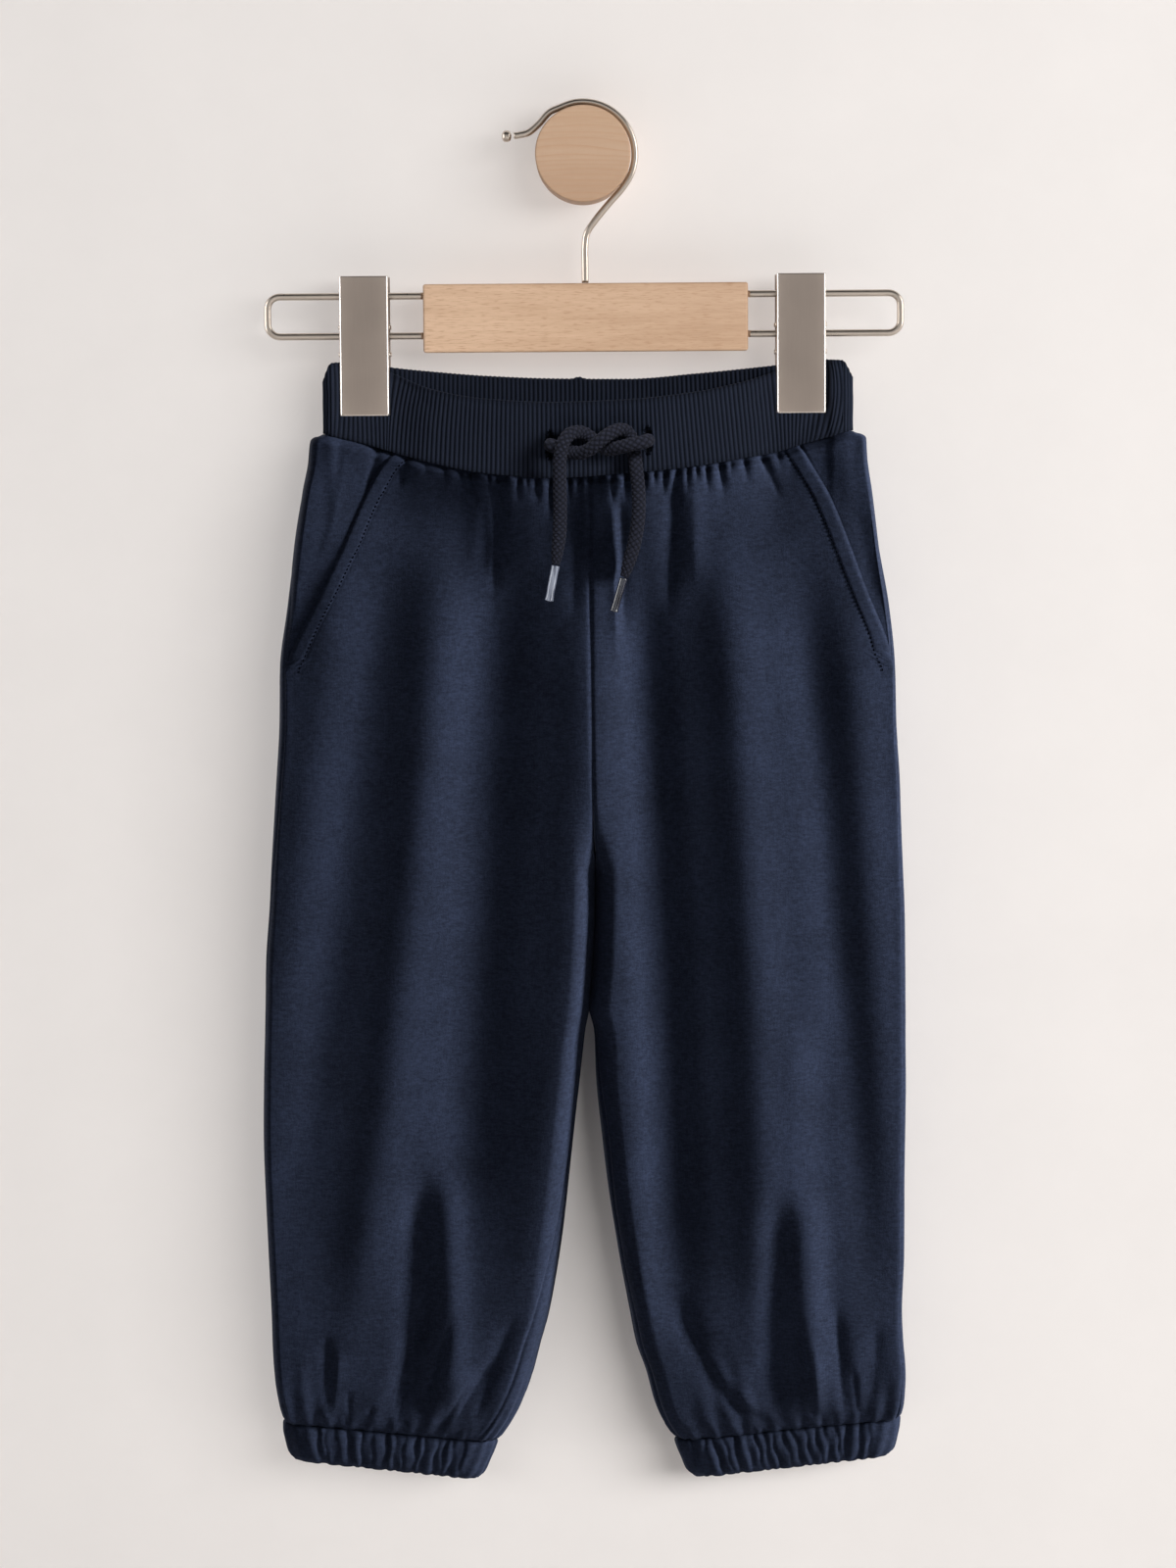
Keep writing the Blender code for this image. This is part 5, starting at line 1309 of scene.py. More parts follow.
def bandSurface(place, drop):
    # the band's outer face without ribs
    face, u = foldLoop(place)
    left, right = bandRows["x"][[0, -1]]
    distance, fullness = across(u, right - left, band["edge"], band["edge"], 0.0)
    x = left + distance
    top = readFace(bandRows, "Top", face, x)
    seam = readFace(bandRows, "Seam", face, x)
    depthTop = readFace(bandRows, "Depth", face, x)
    depth = depthTop + (read(bandRows, "seamDepth", x) - depthTop) * drop ** 4
    return np.stack((x, garment["hangDepth"] + face * depth * fullness, top + (seam - top) * drop), axis=-1)


def evenPlaces(count):
    # places at even steps round the band
    tries = np.linspace(0.0, 2.0, 4001)
    run = runAlong(bandSurface(tries, 0.5 + 0.0 * tries))
    return np.interp(np.arange(count) / count * run[-1], run, tries)


def bandNormal(place, drop):
    return levelNormal(bandSurface(place + 0.002, drop) - bandSurface(place - 0.002, drop))


def bandSection():
    # down the band's section: how far down and how far in each row lies, over the fold and up inside
    thick = garment["bandCloth"]
    middle = np.linspace(0.74, 0.10, band["outerRows"] - 12)
    outer = np.concatenate((np.linspace(1.0, 0.78, 6), middle, np.linspace(0.075, 0.012, 6)))
    bend = np.linspace(0.0, math.pi, 7)
    inner = np.linspace(0.03, 1.0, band["innerRows"])
    drop = np.concatenate((outer, -band["foldDrop"] * np.sin(bend), inner))
    offset = np.concatenate((0.0 * outer, -0.5 * thick * (1.0 - np.cos(bend)), -thick + 0.0 * inner))
    return drop[:, None], offset[:, None]


def leaningPlaces(places, drop):
    # the ribs lean and bow on the front, and lean a little the other way on the back
    x = bandSurface(places, 0.5 + 0.0 * places)[..., 0]
    lean = read(ribLean, "lean", x) * (drop - 0.5)
    bow = read(ribLean, "bow", x) * 4.0 * drop * (1.0 - drop)
    return places + np.where(places % 2.0 <= 1.0, lean + bow, -0.4 * lean) / band["placeLength"]


def buttonholeHeight(x, z):
    # a raised edge round each slit, and the slit itself sunk in
    total = np.zeros_like(x)
    for placeX, placeZ in buttonholes["places"]:
        over = (x - placeX) / (0.5 * buttonholes["width"])
        up = (z - placeZ) / (0.5 * buttonholes["height"])
        slit = np.exp(-((over ** 2 + up ** 2) ** 1.6))
        ring = np.exp(-((np.sqrt(over ** 2 / 3.0 + up ** 2) - 1.05) ** 2) / 0.06)
        total = total + buttonholes["rim"] * ring - buttonholes["depth"] * slit
    return total


def makeWaistband():
    count = band["ribs"] * band["ribPoints"]
    places = evenPlaces(count)[None, :]
    onFront = places <= 1.0
    drop, offset = bandSection()
    place = leaningPlaces(places, drop)
    level = np.clip(drop, 0.0, 1.0) + 0.0 * place
    point = bandSurface(place, level)
    normal = bandNormal(place, level)
    phase = np.arange(count)[None, :] / band["ribPoints"] * 2.0 * math.pi
    ridge = (0.5 + 0.5 * np.cos(phase)) ** band["ribCrown"]
    tight = 1.0 - 0.45 * ease((drop - 0.9) / 0.1) - 0.3 * ease((0.06 - drop) / 0.06)
    outside = offset >= -0.5 * garment["bandCloth"]
    x, z = point[..., 0], point[..., 2]
    height = band["ribHeight"] * (ridge - 1.0) * tight
    height = height + band["uneven"] * np.sin(0.11 * x + 0.2 * z) * np.sin(0.19 * z + 0.07 * x)
    height = height + lineHeight(bandDents, np.where(onFront & outside, front, back), x, z, 0.3)
    puff = np.where(onFront & outside, buttonholeHeight(x, z), 0.0)
    outward = offset + np.where(outside, 1.0, -1.0) * height * 0.8 + puff
    point = point + normal * outward[..., None]
    topRise = np.maximum(-drop, 0.0) / band["foldDrop"] * band["foldRise"]
    seamBump = np.where(onFront, 0.0, bell(x - band["backSeam"], band["backSeamWidth"]))
    seamBump = band["backSeamHeight"] * seamBump * (1.0 - ease(drop / 0.25))
    point[..., 2] = point[..., 2] + topRise * (0.75 + 0.25 * ridge) + seamBump
    point[..., 2] = np.where(drop >= 0.999, point[..., 2] + 0.15, point[..., 2])
    faces = ringFaces(*point.shape[:2])
    piece = makePiece("cloth_waistband", point.reshape(-1, 3), faces, ribFinish)
    # painted shade and highlight for the rib knit: dark in the grooves and the sunk buttonhole slits, pale on
    # the rib tops, less so in the flatter rows at the top and the seam
    ribShading = np.clip(0.15 + 0.85 * ridge * tight - 0.9 * np.maximum(-puff, 0.0), 0.0, 1.0)
    storeShare(piece, "ribHeight", np.broadcast_to(ribShading, point.shape[:2]).reshape(-1))
    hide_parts("waistband")


makeWaistband()
print("waistband knitted")


cuff = {
    "cut": (0.285, 0.0186),    # as the band's
    "columns": 420,
    "rows": 17,
    "edge": 13.0,        # how far in each end rounds off
    "groove": 1.0,
    "hemPull": 0.48,     # how much each groove draws the hem up
    "wave": 0.30,
    "lift": 0.55,        # how far it stands out between its grooves
}


def cuffSurface(side, loop, drop):
    # the cuff without gathers
    face, u = foldLoop(loop)
    outer = readSide(cuffRows, "outer", side, drop)
    inner = readSide(cuffRows, "inner", side, drop)
    width = np.abs(inner - outer)
    distance, fullness = across(u, width, cuff["edge"], cuff["edge"], 0.0)
    share = distance / width
    depth = read(cuffRows, "depth", drop) * fullness
    z = garment["cuffLevel"] - garment["cuffSlant"] * share - drop
    x = outer + (inner - outer) * share
    return np.stack((x, garment["hangDepth"] + face * depth, z), axis=-1), face, u


def cuffSection():
    # down the cuff's outside and up its inside: how far down and how far in each row lies
    middle = np.linspace(3.2, 15.6, cuff["rows"] - 8)
    outer = np.concatenate(((0.15, 0.5, 1.1, 1.9), middle, (16.8, 17.6, 18.2, 18.6)))
    inner = np.array([18.5, 17.4, 14.0, 9.0, 4.0, 0.3])
    sink = 0.9 * np.exp(-(outer / 0.8) ** 2) + 0.9 * ease((outer - 16.2) / 2.4)
    sink = np.concatenate((sink, (1.9, 2.4, 2.6, 2.6, 2.6, 2.6)))
    drop = np.concatenate((outer, inner))
    return drop[:, None], sink[:, None], (np.arange(len(drop)) < len(outer))[:, None]


def grooveDepth(side, face, x, drop):
    # the gathers' grooves, which wander a little on their way down
    total = np.zeros_like(x)
    for number, (top, foot, depth) in enumerate(cuffGrooves[side]):
        hidden = np.where(face == front, 0.0, 2.6 * math.sin(1.9 * number))
        line = top + (foot - top) * drop / garment["cuffHeight"] + hidden
        line = line + 0.5 * np.sin(0.5 * drop + 1.7 * number)
        strength = depth * (0.80 + 0.25 * np.sin(0.32 * drop + 2.1 * number))
        total = total + strength * bell(x - line, 1.15 + 0.25 * math.sin(3.1 * number), 1.45)
    return total


def makeCuff(name, side):
    count = cuff["columns"]
    drop, sink, outside = cuffSection()
    loop = (2.0 * np.arange(count) / count)[None, :]
    point, face, u = cuffSurface(side, loop, drop)
    ahead = cuffSurface(side, loop + 0.006, drop)[0]
    behind = cuffSurface(side, loop - 0.006, drop)[0]
    out = levelNormal(ahead - behind) * (1.0 if side == "left" else -1.0)
    groove = grooveDepth(side, face, point[..., 0], drop)
    wave = cuff["wave"] * waves(u, panel["cuffWaves"], clothSeed(side, face))
    relief = wave - cuff["groove"] * groove + cuff["lift"]
    relief = np.where(outside, relief, 0.25 * relief - 0.3) - sink
    point = point + out * relief[..., None]
    hem = ease((drop - 15.0) / 3.6) * outside
    point[..., 2] = point[..., 2] + cuff["hemPull"] * hem * np.minimum(groove, 1.4)
    faces = ringFaces(*point.shape[:2])
    piece = makePiece("cloth_" + name, point.reshape(-1, 3), faces, jerseyFinish)
    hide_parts(name)
    "front_" + side


for side in ("left", "right"):
    makeCuff("cuff_" + side, side)
print("cuffs gathered")


sewing = {
    "pitch": 2.0,
    "stitch": 1.25,
    "thread": 0.56,
    "sink": 0.02,
    "below": 6.0,     # how far the row runs on below the mouth
    "sides": 6,
    # each ring of a stitch: place along it, lift and thickness in thread radii
    "rings": ((0.0, -0.9, 0.55), (0.14, 0.2, 0.95), (0.5, 0.55, 1.0), (0.86, 0.2, 0.95), (1.0, -0.9, 0.55)),
}


def addStitch(points, faces, start, end, normal, radius):
    # one stitch: a thread that rises out of the cloth, lies on it and dives back in
    along = end - start
    length = np.linalg.norm(along)
    along = along / length
    over = np.cross(along, normal)
    first = len(points)
    sides = sewing["sides"]
    for share, lift, scale in sewing["rings"]:
        centre = start + along * length * share + normal * radius * lift
        for k in range(sides):
            turn = 2.0 * math.pi * k / sides
            points.append(centre + radius * scale * (math.cos(turn) * over + math.sin(turn) * normal))
    faces += gridFaces(len(sewing["rings"]), sides, first, True)
    faces.append(tuple(range(first, first + sides))[::-1])
    faces.append(tuple(range(len(points) - sides, len(points))))


def sewLine(name, line, normals):
    run = runAlong(line)
    points = []
    faces = []
    for number in range(int(run[-1] / sewing["pitch"])):
        begin = number * sewing["pitch"] + 0.12 * math.sin(5.0 * number)
        start = pointAt(begin, run, line)
        end = pointAt(begin + sewing["stitch"], run, line)
        normal = pointAt(begin, run, normals)
        normal = normal / np.linalg.norm(normal)
        addStitch(points, faces, start, end, normal, 0.5 * sewing["thread"])
    makePiece(name, points, faces, threadFinish)


def sewPocket(side):
    # the row of stitches that holds the pocket mouth's hem
    grid, normal = frontGrids[side]
    fromStart = rowLength(grid)[0]
    line = []
    normals = []
    for row in range(len(grid)):
        column = int(np.argmin(np.abs(fromStart[row] - pocket["stitchInset"])))
        if grid[row, column, 2] < pocket["foot"] - sewing["below"] or row < 4:
            continue
        line.append(grid[row, column] + normal[row, column] * sewing["sink"])
        normals.append(normal[row, column])
    line = np.array(line)
    smoothLine = line.copy()
    smoothLine[1:-1] = 0.25 * line[:-2] + 0.5 * line[1:-1] + 0.25 * line[2:]
    sewLine("pocket_stitches_" + side, smoothLine, np.array(normals))


for side in ("left", "right"):
    sewPocket(side)
print("pockets stitched")


def onBand(x, z, lift):
    return np.array((x, bandFrontDepth(x, z) - lift, z))


def sewButtonhole(name, centreX, centreZ, seed):
    # a ragged overcast edge round the slit: short threads that point outward, and a few loose ends
    points = []
    faces = []
    outward = np.array((0.0, -1.0, 0.0))
    for number in range(buttonholes["threads"]):
        turn = 2.0 * math.pi * number / buttonholes["threads"]
        wobble = 0.25 * math.sin(3.7 * number + seed)
        x = centreX + (0.5 * buttonholes["width"] - 0.1 + 0.2 * wobble) * math.cos(turn)
        z = centreZ + (0.5 * buttonholes["height"] - 0.2 + 0.5 * wobble) * math.sin(turn)
        reach = 1.15 + 0.5 * math.sin(2.9 * number + seed)
        start = onBand(x, z, -0.35)
        end = onBand(x + math.cos(turn) * reach, z + math.sin(turn) * reach * 0.9, 0.05)
        addStitch(points, faces, start, end, outward, buttonholes["thread"])
    for number in range(buttonholes["looseEnds"]):
        turn = 0.9 * number + seed
        x = centreX + 1.9 * math.cos(turn)
        z = centreZ + 5.6 * math.sin(turn)
        start = onBand(x, z, 0.2)
        end = onBand(x + 1.7 * math.cos(turn + 0.8), z + 1.6 * math.sin(turn + 0.8), 0.7)
        addStitch(points, faces, start, end, outward, buttonholes["looseThread"])
    makePiece(name, points, faces, threadFinish)


def bandFrontDepth(x, z):
    top = read(bandRows, "frontTop", x)
    drop = (z - top) / (read(bandRows, "frontSeam", x) - top)
    depth = read(bandRows, "frontDepth", x)
    return float(garment["hangDepth"] - depth - (read(bandRows, "seamDepth", x) - depth) * drop ** 4)


for number, (x, z) in enumerate(buttonholes["places"]):
    sewButtonhole("buttonhole_%s" % ("left", "right")[number], x, z, 1.0 + 2.0 * number)
print("buttonholes worked")


def lowHigh(node):
    low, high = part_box(node)
    return np.array(low), np.array(high)


def roundBlock(name, low, high, rounding, segments, finish):
    shape = bmesh.new()
    bmesh.ops.create_cube(shape, size=1.0)
    size = high - low
    for vertex in shape.verts:
        vertex.co = Vector(tuple(low + size * (np.array(vertex.co) + 0.5)))
    bmesh.ops.bevel(shape, geom=shape.edges[:], offset=rounding, segments=segments, profile=0.5,
                    affect="EDGES", clamp_overlap=True)
    mesh = bpy.data.meshes.new(name)
    shape.to_mesh(mesh)
    shape.free()
    mesh.shade_smooth()
    mesh.set_sharp_from_angle(angle=math.radians(60.0))
    return addPiece(name, mesh, finish)


# In metres.
hanger = {
    "barRounding": 0.0011,
    "pegRounding": 0.0007,
    "pegSides": 128,
    "wire": 0.0032,
    "hookWire": 0.0031,
    "wireStep": 0.0011,
    "wireSides": 20,
    "corner": 0.0055,     # how round the wire loops' corners are
}


def makeBar():
    low, high = lowHigh("hanger_bar")
    piece = roundBlock("hanger_bar_wood", low, high, hanger["barRounding"], 4, barFinish)
    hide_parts("hanger_bar")


def makePeg():
    # turned dowel with a softly broken front edge
    low, high = lowHigh("wall_peg")
    radius = 0.5 * (high[0] - low[0])
    near, far = low[1], high[1]
    rounding = hanger["pegRounding"]
    profile = [(0.5 * radius, near), (radius - 2.0 * rounding, near)]
    for turn in np.linspace(0.0, 0.5 * math.pi, 6):
        out = radius - rounding * (1.0 - math.sin(turn))
        profile.append((out, near + rounding * (1.0 - math.cos(turn))))
    profile += [(radius, 0.5 * (near + far)), (radius, far)]
    sides = hanger["pegSides"]
    points = []
    for distance, y in profile:
        for k in range(sides):
            turn = 2.0 * math.pi * k / sides
            points.append((distance * math.cos(turn), y, distance * math.sin(turn)))
    points += [(0.0, near, 0.0), (0.0, far, 0.0)]
    faces = tubeFaces(len(profile), sides)
    piece = makePiece("wall_peg_wood", np.array(points) / mm, faces, pegFinish)
    piece.data.set_sharp_from_angle(angle=math.radians(40.0))
    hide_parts("wall_peg")


def wireAlong(name, route, diameter, finish, node):
    path = smoothRoute(route, hanger["wireStep"])[0]
    radii = np.full((len(path), hanger["wireSides"]), 0.5 * diameter)
    piece = tubeMesh(name, path, radii, finish)
    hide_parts(node)


def makeFrame(side):
    low, high = lowHigh("frame_" + side)
    sign = -1.0 if side == "left" else 1.0
    half = 0.5 * hanger["wire"]
    depth = 0.5 * (low[1] + high[1])
    start = high[0] if side == "left" else low[0]
    far = (low[0] if side == "left" else high[0]) - sign * half
    top = high[2] - half
    foot = low[2] + half
    corner = hanger["corner"]
    route = [(start + (far - start) * share, depth, top) for share in (0.0, 0.3, 0.6, 0.85)]
    for centre, first in ((top - corner, 90.0), (foot + corner, 0.0)):
        for turn in np.linspace(first, first - 90.0, 7):
            angle = math.radians(turn)
            x = far - sign * corner * (1.0 - math.cos(angle))
            route.append((x, depth, centre + corner * math.sin(angle)))
    route += [(start + (far - start) * share, depth, foot) for share in (0.85, 0.6, 0.3, 0.0)]
    wireAlong("wire_loop_" + side, route, hanger["wire"], wireFinish, "frame_" + side)


# A clip half is a folded steel channel; flange rows give how near its sides come to the middle plane.
clip = {
    "sheet": 1.2,             # thickness of the steel, in mm
    "corner": 1.25,           # how far in its folds round off
    "cornerSteps": 7,
    "flange": makeTable("z depth", [
        (-117.9, 3.6), (-108.9, 3.6), (-96.0, 3.2), (-86.6, 3.2), (-80.0, 6.0), (-54.6, 7.4),
    ]),
    "jaw": 9.0,               # height of the pad that bites
    "rimStep": 0.35,          # how far its rims round off
    "rivets": ((6.6, -77.7), (6.6, -90.0)),    # out from the middle plane, and level
    "rivetRadius": 1.25,
    "rivetHead": 0.55,        # how far each end stands out
    "coilRadius": 1.85,
    "coilWire": 0.6,
    "coilTurns": 9,
}


def clipSection(half, outer, flange, sheet, corner):
    # across (x) and depth of one level of the channel: round its outside, then back round its inside
    turns = np.linspace(0.0, 0.5 * math.pi, clip["cornerSteps"])
    left = [(-half, flange), (-half, outer - corner - 0.2)]
    for turn in turns:
        left.append((corner - half - corner * math.cos(turn), outer - corner + corner * math.sin(turn)))
    flat = half - corner - 0.2
    left += [(-flat * share, outer) for share in (1.0, 0.86, 0.68, 0.45, 0.2)]
    outside = left + [(-x, depth) for x, depth in reversed(left)]
    inner = half - sheet
    inside = [(inner, flange), (inner, outer - sheet), (-inner, outer - sheet), (-inner, flange)]
    return outside, inside


def makeClipHalf(side, word):
    node = "clip_%s_%s" % (side, word)
    low, high = (corner / mm for corner in lowHigh(node))
    facing = front if word == "front" else back
    centre = 0.5 * (low[0] + high[0])
    half = 0.5 * (high[0] - low[0])
    outer = max(abs(low[1] - garment["hangDepth"]), abs(high[1] - garment["hangDepth"]))
    step = clip["rimStep"]
    jawTop = low[2] + clip["jaw"]
    levels = [high[2], high[2] - 0.4 * step, high[2] - step, high[2] - 3.0 * step]
    levels += list(np.linspace(high[2] - 4.0, jawTop + 1.0, 26)) + [jawTop]
    levels += [low[2] + 4.0 * step, low[2] + step, low[2] + 0.3 * step, low[2]]
    rims = {0: step, 1: 0.3 * step, len(levels) - 2: 0.3 * step, len(levels) - 1: step}
    points = []
    for number, level in enumerate(levels):
        rim = rims.get(number, 0.0)
        flange = float(read(clip["flange"], "depth", level))
        outside, inside = clipSection(half - rim, outer - rim, flange, clip["sheet"] - rim, clip["corner"])
        for x, depth in outside + inside:
            points.append((centre + x, garment["hangDepth"] + facing * depth, level))
    columns = len(outside) + len(inside)
    rows = len(levels)
    faces = gridFaces(rows, columns, 0, True)
    for first in (0, (rows - 1) * columns):
        faces.append(tuple(range(first, first + columns)))
    piece = makePiece("folded_" + node, points, faces, clipFinish)
    # the bevels and rims take the paler edge finish: polished, and a painted highlight
    piece.data.materials.append(highlightEdgeFinish)
    piece.data.set_sharp_from_angle(angle=math.radians(35.0))
    for face in piece.data.polygons:
        tilt = abs(face.normal[0])
        onRim = face.center[2] > (high[2] - 1.2 * step) * mm or face.center[2] < (low[2] + 1.2 * step) * mm
        flat = abs(face.normal[1]) > 0.97 and not onRim
        face.material_index = 0 if flat or tilt > 0.97 else 1
    # painted highlight: a share that grows towards the clip's left and right edges and its top and foot
    spread = np.array(points)
    over = np.clip(np.abs(spread[:, 0] - centre) / half, 0.0, 1.0) ** 3.0
    along = np.abs(2.0 * (spread[:, 2] - low[2]) / (high[2] - low[2]) - 1.0) ** 5.0
    storeShare(piece, "nearEdge", np.clip(0.75 * over + 0.35 * along, 0.0, 1.0))
    makeJaw(node, centre, half - clip["sheet"], outer - clip["sheet"], facing, low[2], jawTop)
    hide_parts(node)


def makeJaw(node, centre, half, outer, facing, foot, head):
    # the pressed pad that closes the channel's foot and bites on the cloth
    inner = float(read(clip["flange"], "depth", foot))
    ends = sorted((garment["hangDepth"] + facing * inner, garment["hangDepth"] + facing * outer))
    lowest = np.array((centre - half + 0.05, ends[0], foot + 0.15)) * mm
    highest = np.array((centre + half - 0.05, ends[1], head)) * mm
    roundBlock("jaw_of_" + node, lowest, highest, 0.0004, 3, clipFinish)


def makeSpring(side):
    # a wire coil on the middle plane, and the rivets that hold each half's sides
    node = "clip_%s_spring" % side
    low, high = lowHigh(node)
    depth = 0.5 * (low[1] + high[1])
    level = 0.5 * (low[2] + high[2])
    turns = np.linspace(0.0, 2.0 * math.pi * clip["coilTurns"], 24 * clip["coilTurns"])
    radius = clip["coilRadius"] * mm
    run = np.linspace(low[0] + 0.001, high[0] - 0.001, len(turns))
    path = np.stack((run, depth + radius * np.cos(turns), level + radius * np.sin(turns)), axis=1)
    coil = tubeMesh("coil_of_" + node, path, np.full((len(path), 8), clip["coilWire"] * mm), wireFinish)
    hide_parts(node)
    clipLow, clipHigh = lowHigh("clip_%s_front" % side)
    reach = 0.5 * (clipHigh[0] - clipLow[0]) / mm
    centre = 0.5 * (low[0] + high[0])
    for number, (out, height) in enumerate(clip["rivets"]):
        for facing, word in ((front, "front"), (back, "back")):
            half = (reach + clip["rivetHead"]) * mm
            stations = np.array([-1.0, -0.995, -0.97, -0.95, 0.95, 0.97, 0.995, 1.0])
            swell = np.array([0.35, 0.75, 0.97, 1.0, 1.0, 0.97, 0.75, 0.35])
            path = np.array([(centre + half * s, depth + facing * out * mm, height * mm) for s in stations])
            radii = np.repeat((swell * clip["rivetRadius"] * mm)[:, None], 20, axis=1)
            tubeMesh("rivet_%s_%s_%d" % (side, word, number), path, radii, wireFinish)


# Points of the wire, x and z in metres, from the bar up to the peg and from there on to the ball.
hook = {
    "stem": ((0.0006, -0.0581), (0.0006, -0.0500), (0.0006, -0.0420), (0.0016, -0.0356),
             (0.0056, -0.0296), (0.0116, -0.0224)),
    "pegRadius": 0.02175,
    "gap": 0.0003,            # between the wire and the peg
    "arc": (-42.0, 118.0),    # where the wire follows the peg, in degrees
    "lead": ((-0.0156, 0.0186), (-0.0200, 0.0138), (-0.0246, 0.0100), (-0.0290, 0.0088), (-0.0314, 0.0085)),
    "ball": (-0.0347, 0.0083),
    "ballRadius": 0.0026,
}


def makeHook():
    radius = hook["pegRadius"] + 0.5 * hanger["hookWire"] + hook["gap"]
    turns = [math.radians(angle) for angle in np.linspace(*hook["arc"], 9)]
    arc = [(radius * math.cos(turn), radius * math.sin(turn)) for turn in turns]
    depth = garment["hangDepth"] * mm
    route = [(x, depth, z) for x, z in list(hook["stem"]) + arc + list(hook["lead"])]
    wireAlong("hook_wire", route, hanger["hookWire"], wireFinish, "hook")
    makeBall(depth)


def makeBall(depth):
    # the rolled knob that ends the hook, a little flattened, with a neck
    x, z = hook["ball"]
    radius = hook["ballRadius"]
    stations = np.linspace(-1.0, 1.0, 19)
    path = np.array([(x + radius * s * 0.86, depth, z) for s in stations])
    swell = radius * np.sqrt(np.maximum(1.0 - np.abs(stations) ** 2.6, 0.0)) + 0.00002
    radii = np.repeat(swell[:, None], 24, axis=1)
    piece = tubeMesh("hook_knob", path, radii, wireFinish)
    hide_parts("hook_ball")


makeBar()
makePeg()
for side in ("left", "right"):
    makeFrame(side)
    for word in ("front", "back"):
        makeClipHalf(side, word)
    makeSpring(side)
makeHook()
print("hanger and peg ready")


room = {
    "wall": (0.800, 0.770, 0.752),
    "floor": (0.80, 0.78, 0.765),
    "wallY": 0.0006,
    "wallHalf": 3.0,
    "wallTop": 2.0,
    "floorZ": -1.15,
    "floorHalf": 4.0,
    "skyColour": (0.96, 0.965, 0.98, 1.0),
    "sky": 0.055,
}

whiteLight = (1.0, 0.99, 0.985)
warmLight = (1.0, 0.985, 0.965)

# Each light: place, aim, width and height in metres, watts, colour, what it falls on, what shades it.
lights = {
    "front": ((1.85, -2.55, 0.25), (0, 0, -0.25), (3.0, 0.9), 52.0, whiteLight, ("room",), "right leg"),
    "left": ((-1.85, -2.55, 0.25), (0, 0, -0.25), (3.0, 0.9), 19.0, whiteLight, ("room",), "left leg"),
    "right": ((1.85, -2.55, 0.45), (0, 0, -0.25), (2.8, 1.2), 44.0, (1.0, 0.985, 0.97), ("room",), None),
    "key": ((2.4, -0.58, 0.35), (0, 0, -0.30), (0.5, 1.2), 196.0, warmLight, ("cloth",), "all cloth"),
    "band": ((1.9, -1.5, 0.5), (0, 0, -0.12), (0.7, 0.7), 43.0, warmLight, ("rib",), "all cloth"),
    "soft": ((0.6, -2.4, 0.1), (0, 0, -0.30), (1.2, 1.2), 1.3, (0.96, 0.98, 1.0), ("cloth", "rib"), None),
    "sheen": ((0.0, -2.5, 0.0), (0, 0, -0.10), (3.0, 2.6), 14.5, (1.0, 0.99, 0.975), ("metal",), None),
    "rim right": ((2.0, -0.65, 0.2), (0, 0, -0.10), (1.1, 1.8), 31.0, (1.0, 0.99, 0.98), ("metal",), None),
    "rim left": ((-2.0, -0.65, 0.1), (0, 0, -0.10), (1.1, 1.8), 28.0, (1.0, 0.99, 0.98), ("metal",), None),
    "string": ((0.7, -1.5, 1.1), (0, 0, -0.15), (0.8, 0.8), 52.0, (1.0, 0.99, 0.97), ("cord",), None),
    "behind": ((-1.0, 1.8, 0.5), (0, 0, -0.30), (1.8, 1.8), 30.0, (1.0, 0.99, 0.98),
               ("cloth", "rib", "cord"), "all cloth"),
    "rear": ((-1.3, 1.8, 0.6), (0, 0, -0.30), (1.8, 1.8), 13.0, (1.0, 1.0, 1.0),
             ("room", "cloth", "rib", "cord", "metal"), None),
}


def makeWallFinish():
    finish = Finish("pale wall", Roughness=0.95, Specular_IOR_Level=0.1)
    plaster = finish.noise(finish.place(), 14.0, 4.0, 0.6)
    finish.colour(finish.tones(plaster, room["wall"], (0.3, 0.985), (0.7, 1.012)))
    fromBehind = finish.node("ShaderNodeNewGeometry", take="Backfacing")    # clear when seen from behind
    clear = finish.node("ShaderNodeBsdfTransparent")
    solid = Flow(finish, finish.shader.outputs[0])
    mix = finish.node("ShaderNodeMixShader", None, {0: fromBehind, 1: solid, 2: clear})
    finish.feed(finish.tree.nodes["Material Output"].inputs[0], mix)
    return finish.material


def makePlane(name, corners, finish):
    mesh = bpy.data.meshes.new(name)
    mesh.from_pydata(corners, [], [(0, 1, 2, 3)])
    mesh.materials.append(finish)
    plane = bpy.data.objects.new(name, mesh)
    bpy.context.scene.collection.objects.link(plane)


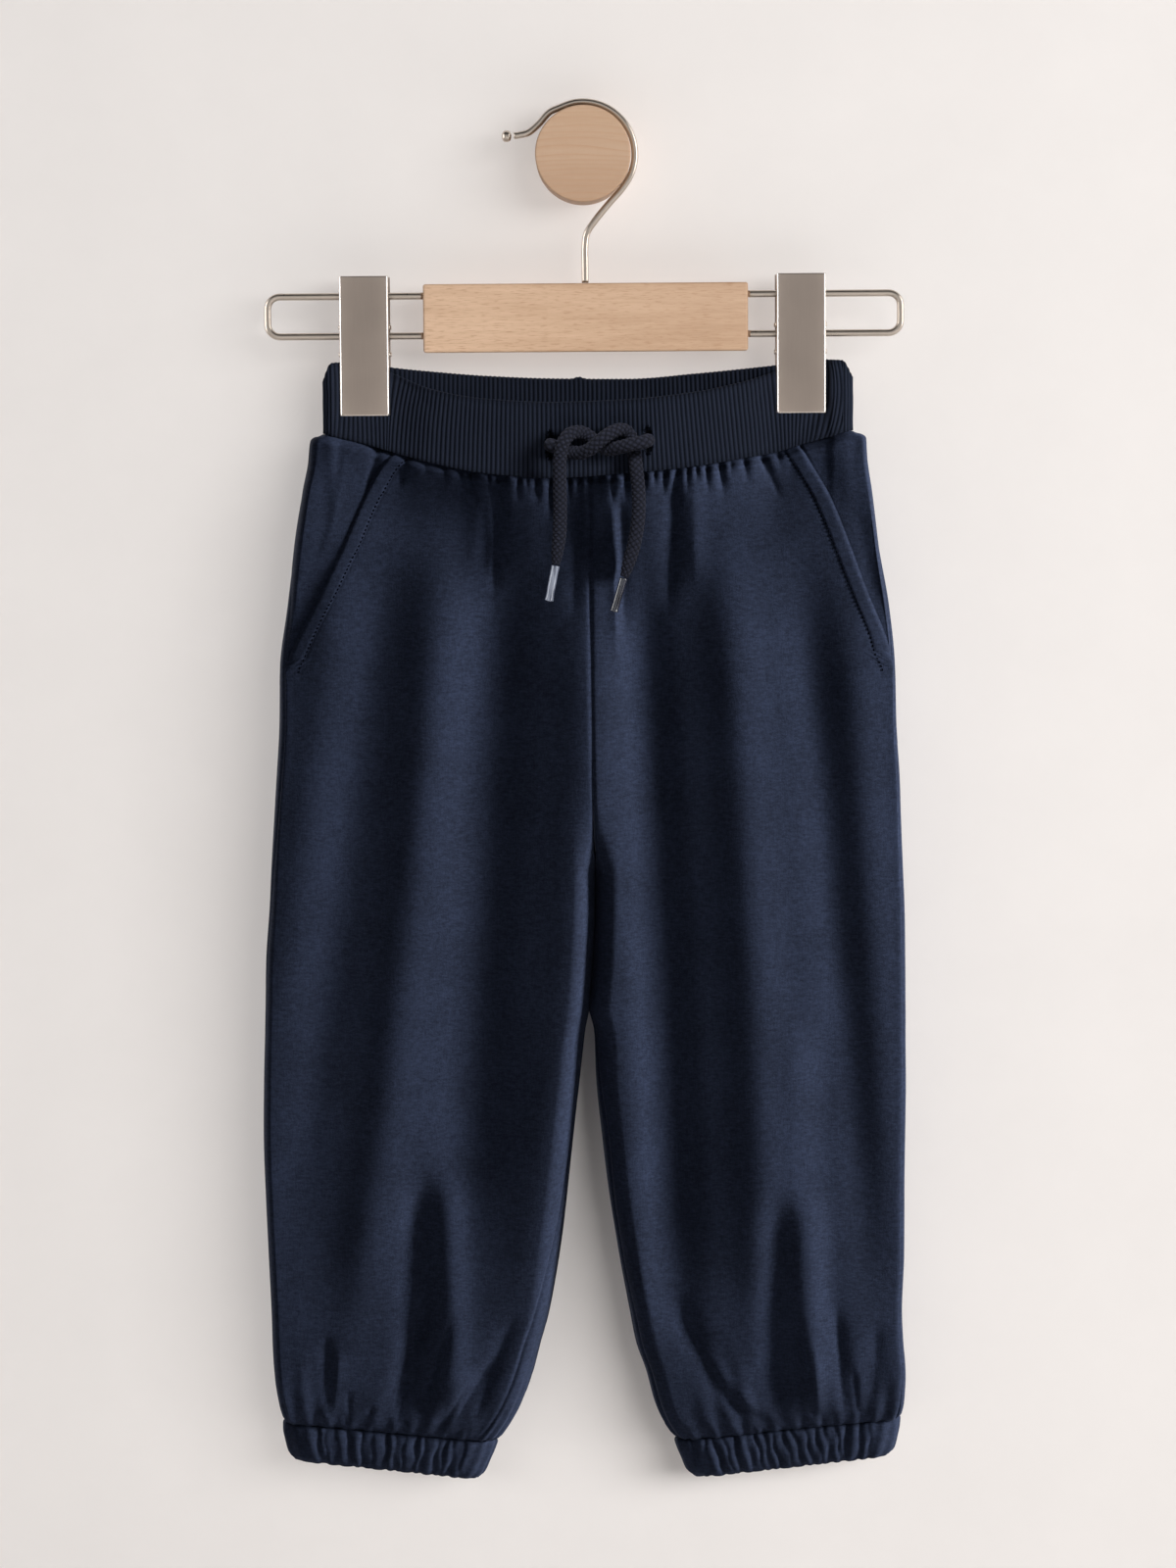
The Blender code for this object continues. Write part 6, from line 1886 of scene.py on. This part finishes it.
def makeRoom():
    y, z = room["wallY"], room["floorZ"]
    half, top = room["wallHalf"], room["wallTop"]
    makePlane("wall", [(-half, y, z), (half, y, z), (half, y, top), (-half, y, top)], makeWallFinish())
    floor = Finish("pale floor", Roughness=0.9, Specular_IOR_Level=0.2)
    floor.colour((*room["floor"], 1.0))
    half = room["floorHalf"]
    corners = [(-half, -half, z), (half, -half, z), (half, half, z), (-half, half, z)]
    makePlane("floor", corners, floor.material)


def makeLight(name, place, aim, size, power, colour, receivers, blockers):
    lamp = bpy.data.lights.new(name, "AREA")
    lamp.shape = "RECTANGLE"
    lamp.size, lamp.size_y = size
    lamp.energy = power
    lamp.color = colour
    light = bpy.data.objects.new(name, lamp)
    light.location = place
    light.rotation_euler = (Vector(aim) - Vector(place)).to_track_quat("-Z", "Y").to_euler()
    bpy.context.scene.collection.objects.link(light)
    light.light_linking.receiver_collection = receivers
    if blockers:
        light.light_linking.blocker_collection = blockers


def gather(name, things):
    group = bpy.data.collections.new(name)
    for thing in things:
        group.objects.link(thing)
    return group


def makeLights():
    # the dark cloth has a raking key of its own, the metal dim panels to mirror, the rest a flat light
    kinds = {"cloth": [], "rib": [], "cord": [], "metal": [], "room": []}
    shinyFinishes = metalFinishes | set(tipFinishes.values())
    for thing in bpy.context.scene.objects:
        if thing.type == "MESH" and thing.data.materials:
            finish = thing.data.materials[0]
            kind = "cloth" if finish in clothFinishes else "metal" if finish in shinyFinishes else "room"
            kind = {braidFinish: "cord", ribFinish: "rib"}.get(finish, kind)
            kinds[kind].append(thing)
    shades = {"all cloth": gather("all cloth", kinds["cloth"] + kinds["rib"] + kinds["cord"])}
    for side in ("left", "right"):
        leg = [thing for thing in kinds["cloth"] if thing.name.endswith("_" + side)]
        shades[side + " leg"] = gather(side + " leg", leg)
    for name, (place, aim, size, power, colour, falls, shadedBy) in lights.items():
        lit = gather("lit by " + name, [thing for kind in falls for thing in kinds[kind]])
        makeLight(name, place, aim, size, power, colour, lit, shades.get(shadedBy))
    world = bpy.data.worlds.new("studio")
    bpy.context.scene.world = world
    world.use_nodes = True
    sky = world.node_tree.nodes["Background"]
    sky.inputs["Color"].default_value = room["skyColour"]
    sky.inputs["Strength"].default_value = room["sky"]
    bpy.context.scene.view_settings.view_transform = "Standard"


makeRoom()
makeLights()
print("room lit")
